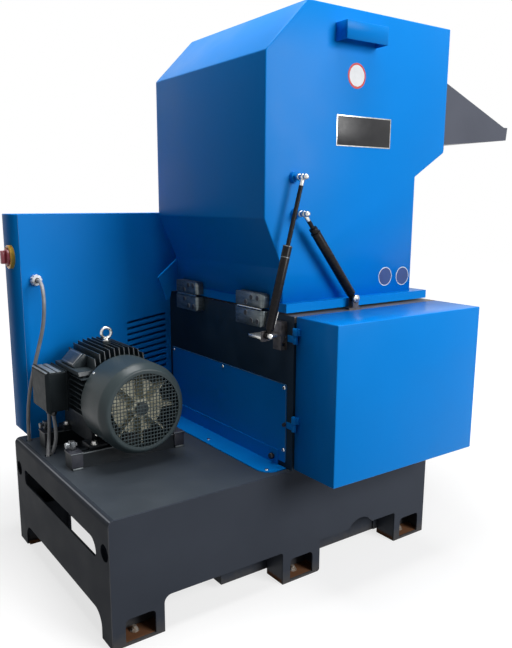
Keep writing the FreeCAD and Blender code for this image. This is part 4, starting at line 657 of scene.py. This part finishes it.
slant = Matrix.Rotation(math.radians(-45), 4, "Y")
boss, frame_strip, blank = bmesh.new(), bmesh.new(), bmesh.new()
for bm, size, lift in ((boss, (0.070, 0.150, 0.040), 0.0), (frame_strip, (0.060, 0.124, 0.004), 21),
                       (blank, (0.048, 0.108, 0.005), 22)):
    bmesh.ops.create_cube(bm, size=1.0, matrix=Matrix.Translation(
        spot(199 - 0.707 * lift, 750, 878 + 0.707 * lift)) @ slant @ Matrix.Diagonal((*size, 1)))
    soften(bm, 1.0)
make("motor_plate_boss", boss, "base_and_drive", motor_paint)
make("motor_plate_frame", frame_strip, "base_and_drive", plate_rim)
make("motor_plate_blank", blank, "base_and_drive", plate_blank)

feet = bmesh.new()
for side in (-1, 1):
    outer = motor_x + side * 175
    middle = outer - side * 45
    rib(feet, (middle - 12, middle + 12), (584, 888), (548, 668))
    for y in ((523, 610), (816, 888)):
        bar(feet, sorted((outer, outer - side * 80)), y, (548, 566), 2.0)
# The motor's feet take the rails' painted shade.
make("motor_foot_castings", feet, "base_and_drive", shaded_rail_paint,
     replaced=("motor_feet",))
foot_bolts = bmesh.new()
for x in (motor_x - 150, motor_x + 150):
    for y in (536, 852):
        pin(foot_bolts, (x, y, 566), (x, y, 569), 16)
        pin(foot_bolts, (x, y, 569), (x, y, 579), 12, 11.4, segments=6)
make("motor_foot_bolts", foot_bolts, "base_and_drive", bright_zinc)

cowl_paint = finish("cowl_paint", (0.030, 0.044, 0.048), (0.038, 0.054, 0.058), (0.30, 0.40),
                    patch=4.0, grain=300.0, gloss_level=0.25)
cowl_radius, cowl_flat = 188, 174


def spun(outline):
    """A ring spun from an outline of radii and distances from the front."""
    bm = bmesh.new()
    ring = [bm.verts.new((r / 1000, y / 1000, 0)) for r, y in outline]
    loop = [bm.edges.new((a, b)) for a, b in zip(ring, ring[1:] + ring[:1])]
    bmesh.ops.spin(bm, geom=ring + loop, cent=(0, 0, 0), axis=(0, 1, 0), angle=2 * math.pi,
                   steps=96, use_merge=True, use_duplicate=False)
    return bm


def onto_axis(bm):
    """Moves a spun shape to the motor's axis and turns its faces outwards."""
    bmesh.ops.translate(bm, verts=bm.verts, vec=spot(motor_x, 0, motor_z))
    bmesh.ops.recalc_face_normals(bm, faces=bm.faces)


cowl = spun([(159, 363), (159, 360), (162, 360), (166, 361), (171, 366), (183, 388),
             (186.6, 396), (cowl_radius, 404), (cowl_radius, 568), (cowl_radius - 3, 568),
             (cowl_radius - 3, 406), (180, 390), (168, 371), (163, 364)])
for v in cowl.verts:
    if v.co.y > 0.5:
        beyond = math.hypot(v.co.x, v.co.z) - cowl_radius / 1000
        v.co.z = max(v.co.z, -cowl_flat / 1000 - beyond)
onto_axis(cowl)
make("cowl_pressing", cowl, "base_and_drive", cowl_paint, replaced=("fan_cowl",))

cowl_screws = bmesh.new()
for angle in (45, 135, 225, 315):
    turned = math.radians(angle)
    out = Vector((math.cos(turned), 0, math.sin(turned)))
    seat = Vector((motor_x, 552, motor_z)) + out * (cowl_radius - 1)
    pin(cowl_screws, seat, seat + out * 4, 7, 5.5)
make("cowl_screws", cowl_screws, "base_and_drive", bright_zinc)

wire_cells, cell_inset, grille_half_width, grille_radius = 23, 2.2, 165.6, 156
grille = bmesh.new()
bmesh.ops.create_grid(grille, x_segments=wire_cells, y_segments=wire_cells,
                      size=grille_half_width / 1000)
outside = [f for f in grille.faces if f.calc_center_median().length > grille_radius / 1000]
bmesh.ops.delete(grille, geom=outside, context="FACES")
cells = grille.faces[:]
bmesh.ops.inset_individual(grille, faces=cells, thickness=cell_inset / 1000)
bmesh.ops.delete(grille, geom=cells, context="FACES")
bmesh.ops.rotate(grille, verts=grille.verts, cent=(0, 0, 0),
                 matrix=Matrix.Rotation(math.radians(90), 3, "X"))
bmesh.ops.translate(grille, verts=grille.verts, vec=spot(motor_x, 363, motor_z))
thicken(make("grille_mesh", grille, "base_and_drive", cowl_paint,
             replaced=("fan_grille",)), 2)
rim = spun([(150, 360.4), (160, 360.4), (160, 363.4), (150, 363.4)])
onto_axis(rim)
make("grille_rim", rim, "base_and_drive", cowl_paint)

fan_cream = finish("fan_cream_plastic", (0.50, 0.48, 0.36), (0.62, 0.60, 0.46), (0.4, 0.55),
                   patch=18.0)
fan = bmesh.new()
round_part(fan, 400, 440, 40, 52, segments=48)
round_part(fan, 434, 440, 112, segments=64)
blades = 8
for i in range(blades):
    turned = Matrix.Rotation(i * 2 * math.pi / blades, 4, "Y")
    blade = bmesh.ops.create_cube(fan, size=1.0, matrix=turned
                                  @ Matrix.Translation((0.092, 0, 0))
                                  @ Matrix.Rotation(math.radians(14), 4, "X")
                                  @ Matrix.Diagonal((0.104, 0.046, 0.004, 1)))
    bmesh.ops.translate(fan, verts=blade["verts"], vec=spot(motor_x, 414, motor_z))
soften(fan, 0.8, limit=50)
make("fan_wheel", fan, "fan", fan_cream, replaced=("motor_fan",))
hub = bmesh.new()
round_part(hub, 384, 402, 26, segments=40)
round_part(hub, 440, 530, 20, segments=32)
soften(hub, 1.5, limit=50)
make("fan_hub", hub, "fan", motor_paint)

eye = bmesh.new()
bmesh.ops.create_circle(eye, segments=20, radius=0.0065,
                        matrix=Matrix.Translation((0.0225, 0, 0)))
bmesh.ops.spin(eye, geom=eye.verts[:] + eye.edges[:], cent=(0, 0, 0), axis=(0, 1, 0),
               angle=2 * math.pi, steps=48, use_merge=True, use_duplicate=False)
bmesh.ops.translate(eye, verts=eye.verts, vec=spot(motor_x, eye_y, eye_seat + 34))
bmesh.ops.recalc_face_normals(eye, faces=eye.faces)
pin(eye, (motor_x, eye_y, eye_seat), (motor_x, eye_y, eye_seat + 15), 11, 8)
pin(eye, (motor_x, eye_y, eye_seat - 3), (motor_x, eye_y, eye_seat + 3), 17)
make("lifting_eye", eye, "base_and_drive", bright_zinc, replaced=("motor_eyebolt",))

# Terminal box trim and rail ends. Flange strips in the box's own paint, light strips painted
# as highlights on edges, folded caps on the ends of the slide rails, and the dark steel bolts
# that push the motor along its rails.

# Painted highlights: light strips on the terminal lid's top edges and on the rails' edges and lips,
# where the edges catch the light.
lid_and_rail_highlight = finish("lid_and_rail_painted_highlight", (0.13, 0.15, 0.16), (0.22, 0.24, 0.25), (0.35, 0.5),
                   metal=0.3, patch=60.0)
strips = bmesh.new()
bar(strips, (66, 69.6), (708, 902), (664, 850), 1.5)
bar(strips, (140, 146), (712, 898), (668, 846), 1.5)
make("terminal_flanges", strips, "base_and_drive", terminal_paint)
lid_edges = bmesh.new()
for x in ((54, 64), (72, 98), (104, 122)):
    bar(lid_edges, x, (716, 892), (842, 845.4), 1.2)
make("terminal_top_edges", lid_edges, "base_and_drive", lid_and_rail_highlight)
cap_paint = finish("rail_cap_paint", (0.030, 0.032, 0.042), (0.046, 0.048, 0.060), (0.34, 0.46),
                   patch=30.0, gloss_level=0.25)
caps, rail_edges = bmesh.new(), bmesh.new()
for y0 in (500, 816):
    for x0, x1 in ((69, 115), (537, 583)):
        bar(caps, (x0 - 3, x1 + 3), (y0 - 3, y0 + 75), (548, 555), 1.2)
        bar(caps, (x0 - 1, x1 + 1), (y0 - 1.5, y0), (496, 550), 0.6)
        bar(rail_edges, (x0 + 2, x1 - 2), (y0 - 5, y0 + 2), (487, 493), 1.0)
        bar(rail_edges, (x0 - 3, x1 + 3), (y0 - 4, y0 - 2.4), (552, 555.5), 0.4)
    bar(rail_edges, (115, 537), (y0 + 3.5, y0 + 8), (545, 549.5), 0.8)
make("rail_end_caps", caps, "base_and_drive", cap_paint)
make("rail_edge_highlights", rail_edges, "base_and_drive", lid_and_rail_highlight)
rail_bolts = bmesh.new()
for y in (556, 872):
    pin(rail_bolts, (74, y, 574), (112, y, 574), 8, segments=6)
    pin(rail_bolts, (66, y, 574), (76, y, 574), 13, segments=6)
    bar(rail_bolts, (84, 104), (y - 14, y + 14), (555, 590), 1.5)
make("rail_push_bolts", rail_bolts, "base_and_drive", socket_steel)

# Struts. Each is a black tube with a thinner black rod that slides in it, a bright ball socket
# on a stud at the hopper and an eye that turns on a bolted steel bracket at the foot.

strut_black = finish("strut_black_paint", (0.008, 0.008, 0.010), (0.014, 0.012, 0.012),
                     (0.20, 0.32), patch=20.0, gloss_level=0.1)
strut_y = 21
strut_feet = {1: (680, 1046), 2: (1119, 1155)}
strut_heads = {1: (838, 1633), 2: (848, 1497)}


def strut_line(number):
    """A strut's foot and head, and the direction from the foot to the head."""
    foot, head = (Vector((x, strut_y, z)) for x, z in (strut_feet[number], strut_heads[number]))
    return foot, head, (head - foot).normalized()


def strut_sleeve(number, barrel, neck, eye_sides):
    """The tube of a strut, with the neck and the eye at its foot."""
    foot, _, way = strut_line(number)
    body = f"strut_{number}_tube"
    tube = bmesh.new()
    for start, end, radius in barrel:
        pin(tube, foot + way * start, foot + way * end, radius, segments=40)
    start, end, radius = neck
    pin(tube, foot + way * start, foot + way * end, 8, radius)
    pin(tube, (foot.x, eye_sides[0], foot.z), (foot.x, eye_sides[1], foot.z), 13, segments=32)
    soften(tube, 0.8, limit=50)
    make(f"strut_{number}_sleeve", tube, body, strut_black, replaced=(body,))


strut_sleeve(1, ((26, 346, 17.5),), (10, 28, 13), (12.5, 29.5))
strut_sleeve(2, ((24, 340, 18.5), (339, 346, 19.6), (345, 366, 16)), (8, 26, 11), (14, 28))
rings = bmesh.new()
foot, _, way = strut_line(1)
for reach in (342, 300):
    pin(rings, foot + way * reach, foot + way * (reach + 3), 18, segments=40)
make("strut_1_rings", rings, "strut_1_tube", socket_steel)
bracket_steel = finish("bracket_steel", (0.07, 0.065, 0.068), (0.14, 0.13, 0.13), (0.3, 0.5),
                       metal=0.7, patch=40.0)
dress(bracket_steel, "strut_brackets")
for name, body, places in (("stud_ends", "hopper", strut_heads.values()),
                           ("foot_ends", "base_and_drive", (strut_feet[1],))):
    ends = bmesh.new()
    for x, z in places:
        pin(ends, (x, 12, z), (x, 4, z), 11, 9.5)
        ball = bmesh.ops.create_uvsphere(ends, u_segments=24, v_segments=12, radius=0.0115)
        bmesh.ops.translate(ends, verts=ball["verts"], vec=spot(x, 4, z))
        if body == "hopper":
            pin(ends, (x, 46, z), (x, 36, z), 14, 12)
    soften(ends, 0.8, limit=50)
    make(name, ends, body, bright_zinc)
shelf = bmesh.new()
bar(shelf, (661, 742), (41.5, 121), (1030.5, 1041.5), 1.2)
pin(shelf, (712, 24, 1074), (731, 24, 1133), 2.6)
make("strut_shelf_plate", shelf, "base_and_drive", bright_zinc)
fork_x, fork_z = strut_feet[2]
fork_pin = bmesh.new()
pin(fork_pin, (fork_x, 6, fork_z), (fork_x, 1, fork_z), 17, 15)
pin(fork_pin, (fork_x, 2, fork_z), (fork_x, -3, fork_z), 8, 6)
soften(fork_pin, 0.8, limit=50)
make("fork_pin_head", fork_pin, "base_and_drive", bright_zinc)


def ball_rod(number, radius, reach):
    """The thin upper half of a strut: a black rod that ends in a bright ball socket."""
    _, head, way = strut_line(number)
    body = f"strut_{number}_rod"
    rod, socket = bmesh.new(), bmesh.new()
    pin(rod, head - way * 34, head - way * reach, radius, segments=32)
    make(f"strut_{number}_thin_rod", rod, body, strut_black, replaced=(body,))
    pin(socket, head - way * 10, head - way * 36, 8.5, 7.5)
    ball = bmesh.ops.create_uvsphere(socket, u_segments=32, v_segments=16, radius=0.013)
    bmesh.ops.translate(socket, verts=ball["verts"], vec=spot(*head))
    soften(socket, 0.8, limit=50)
    make(f"strut_{number}_socket", socket, body, bright_zinc)


ball_rod(1, 8.5, 420)
ball_rod(2, 8, 375)

# Room. A pale floor that keeps the shadow, a white surround that only the camera and
# reflections see, large soft lamps from the front right and from above, and a weak one from
# the left.

floor_mesh = bmesh.new()
bmesh.ops.create_grid(floor_mesh, x_segments=1, y_segments=1, size=14.0)
floor_data = bpy.data.meshes.new("studio_floor")
floor_mesh.to_mesh(floor_data)
floor_mesh.free()
floor = bpy.data.objects.new("studio_floor", floor_data)
bpy.context.scene.collection.objects.link(floor)
floor.location.z = -0.001
floor_white = bpy.data.materials.new("studio_floor_white")
floor_white.use_nodes = True
floor_nodes, floor_links = floor_white.node_tree.nodes, floor_white.node_tree.links
floor_shader = floor_nodes["Principled BSDF"]
floor_shader.inputs["Roughness"].default_value = 0.8
floor_shader.inputs["Specular IOR Level"].default_value = 0.0
floor_shader.inputs["Emission Color"].default_value = (1, 1, 1, 1)


def seen_ray(nodes, links):
    """One for rays that show a surface or mirror it, nothing for rays that light others."""
    rays = nodes.new("ShaderNodeLightPath")
    seen, either = nodes.new("ShaderNodeMath"), nodes.new("ShaderNodeMath")
    seen.operation = either.operation = "MAXIMUM"
    links.new(rays.outputs["Is Camera Ray"], seen.inputs[0])
    links.new(rays.outputs["Is Glossy Ray"], seen.inputs[1])
    links.new(seen.outputs["Value"], either.inputs[0])
    links.new(rays.outputs["Is Transmission Ray"], either.inputs[1])
    return either.outputs["Value"]


floor_seen = seen_ray(floor_nodes, floor_links)
floor_tone = floor_nodes.new("ShaderNodeMix")
floor_tone.data_type = "RGBA"
floor_tone.inputs[6].default_value = (0.22, 0.23, 0.24, 1)
floor_tone.inputs[7].default_value = (0.30, 0.30, 0.30, 1)
floor_links.new(floor_seen, floor_tone.inputs[0])
floor_links.new(floor_tone.outputs[2], floor_shader.inputs["Base Color"])
floor_place = floor_nodes.new("ShaderNodeTexCoord")
floor_reach = floor_nodes.new("ShaderNodeVectorMath")
floor_reach.operation = "LENGTH"
floor_links.new(floor_place.outputs["Object"], floor_reach.inputs[0])
floor_glow = floor_nodes.new("ShaderNodeMapRange")
for socket, value in (("From Min", 1.2), ("From Max", 3.2), ("To Min", 0.72), ("To Max", 1.0)):
    floor_glow.inputs[socket].default_value = value
floor_links.new(floor_reach.outputs["Value"], floor_glow.inputs["Value"])
floor_white_light = floor_nodes.new("ShaderNodeMath")
floor_white_light.operation = "MULTIPLY"
floor_links.new(floor_glow.outputs["Result"], floor_white_light.inputs[0])
floor_links.new(floor_seen, floor_white_light.inputs[1])
floor_links.new(floor_white_light.outputs["Value"], floor_shader.inputs["Emission Strength"])
floor_data.materials.append(floor_white)

world = bpy.data.worlds.new("studio")
bpy.context.scene.world = world
world.use_nodes = True
sky, sky_links = world.node_tree.nodes, world.node_tree.links
ambient = sky["Background"]
ambient.inputs["Color"].default_value = (0.93, 0.96, 1.0, 1)
ambient.inputs["Strength"].default_value = 0.08
white = sky.new("ShaderNodeBackground")
white.inputs["Color"].default_value = (1, 1, 1, 1)
white.inputs["Strength"].default_value = 1.0
blend = sky.new("ShaderNodeMixShader")
sky_links.new(seen_ray(sky, sky_links), blend.inputs["Fac"])
sky_links.new(ambient.outputs["Background"], blend.inputs[1])
sky_links.new(white.outputs["Background"], blend.inputs[2])
sky_links.new(blend.outputs["Shader"], sky["World Output"].inputs["Surface"])


def lamp(name, place, aim, size, power):
    """A large square soft lamp, in metres and watts, turned towards a place."""
    data = bpy.data.lights.new(name, "AREA")
    data.size = size
    data.energy = power
    light = bpy.data.objects.new(name, data)
    light.location = place
    light.rotation_euler = (Vector(aim) - Vector(place)).to_track_quat("-Z", "Y").to_euler()
    bpy.context.scene.collection.objects.link(light)


lamp("key", (2.0, -5.4, 3.1), (0.1, 0, 1.0), 2.8, 310)
lamp("overhead", (0.3, 0.0, 5.2), (0.1, 0, 0.5), 3.0, 270)
lamp("left_fill", (-4.0, -1.2, 2.0), (0, 0, 0.8), 2.4, 4)

camera_data = bpy.data.cameras.new("photo_view")
camera = bpy.data.objects.new("photo_view", camera_data)
bpy.context.scene.collection.objects.link(camera)
bpy.context.scene.camera = camera
photo_width, photo_height = 512, 648
focal_pixels, centre_x, centre_y = 681.4, 237.54, 341.37
film = 36.0
camera_data.sensor_fit = "VERTICAL"
camera_data.sensor_height = film
camera_data.sensor_width = film
camera_data.lens = focal_pixels / photo_height * film
camera_data.shift_x = (photo_width / 2 - centre_x) / photo_height
camera_data.shift_y = (centre_y - photo_height / 2) / photo_height
camera_yaw, camera_pitch = math.radians(34.563), math.radians(11.453)
camera_from_corner = Vector((-0.84432, -1.99056, 1.536))
camera.location = BASE_CORNER + camera_from_corner
ahead = Vector((math.sin(camera_yaw) * math.cos(camera_pitch),
                math.cos(camera_yaw) * math.cos(camera_pitch), -math.sin(camera_pitch)))
camera.rotation_euler = ahead.to_track_quat("-Z", "Y").to_euler()
camera_data.clip_end = 60

bpy.context.scene.view_settings.view_transform = "Standard"
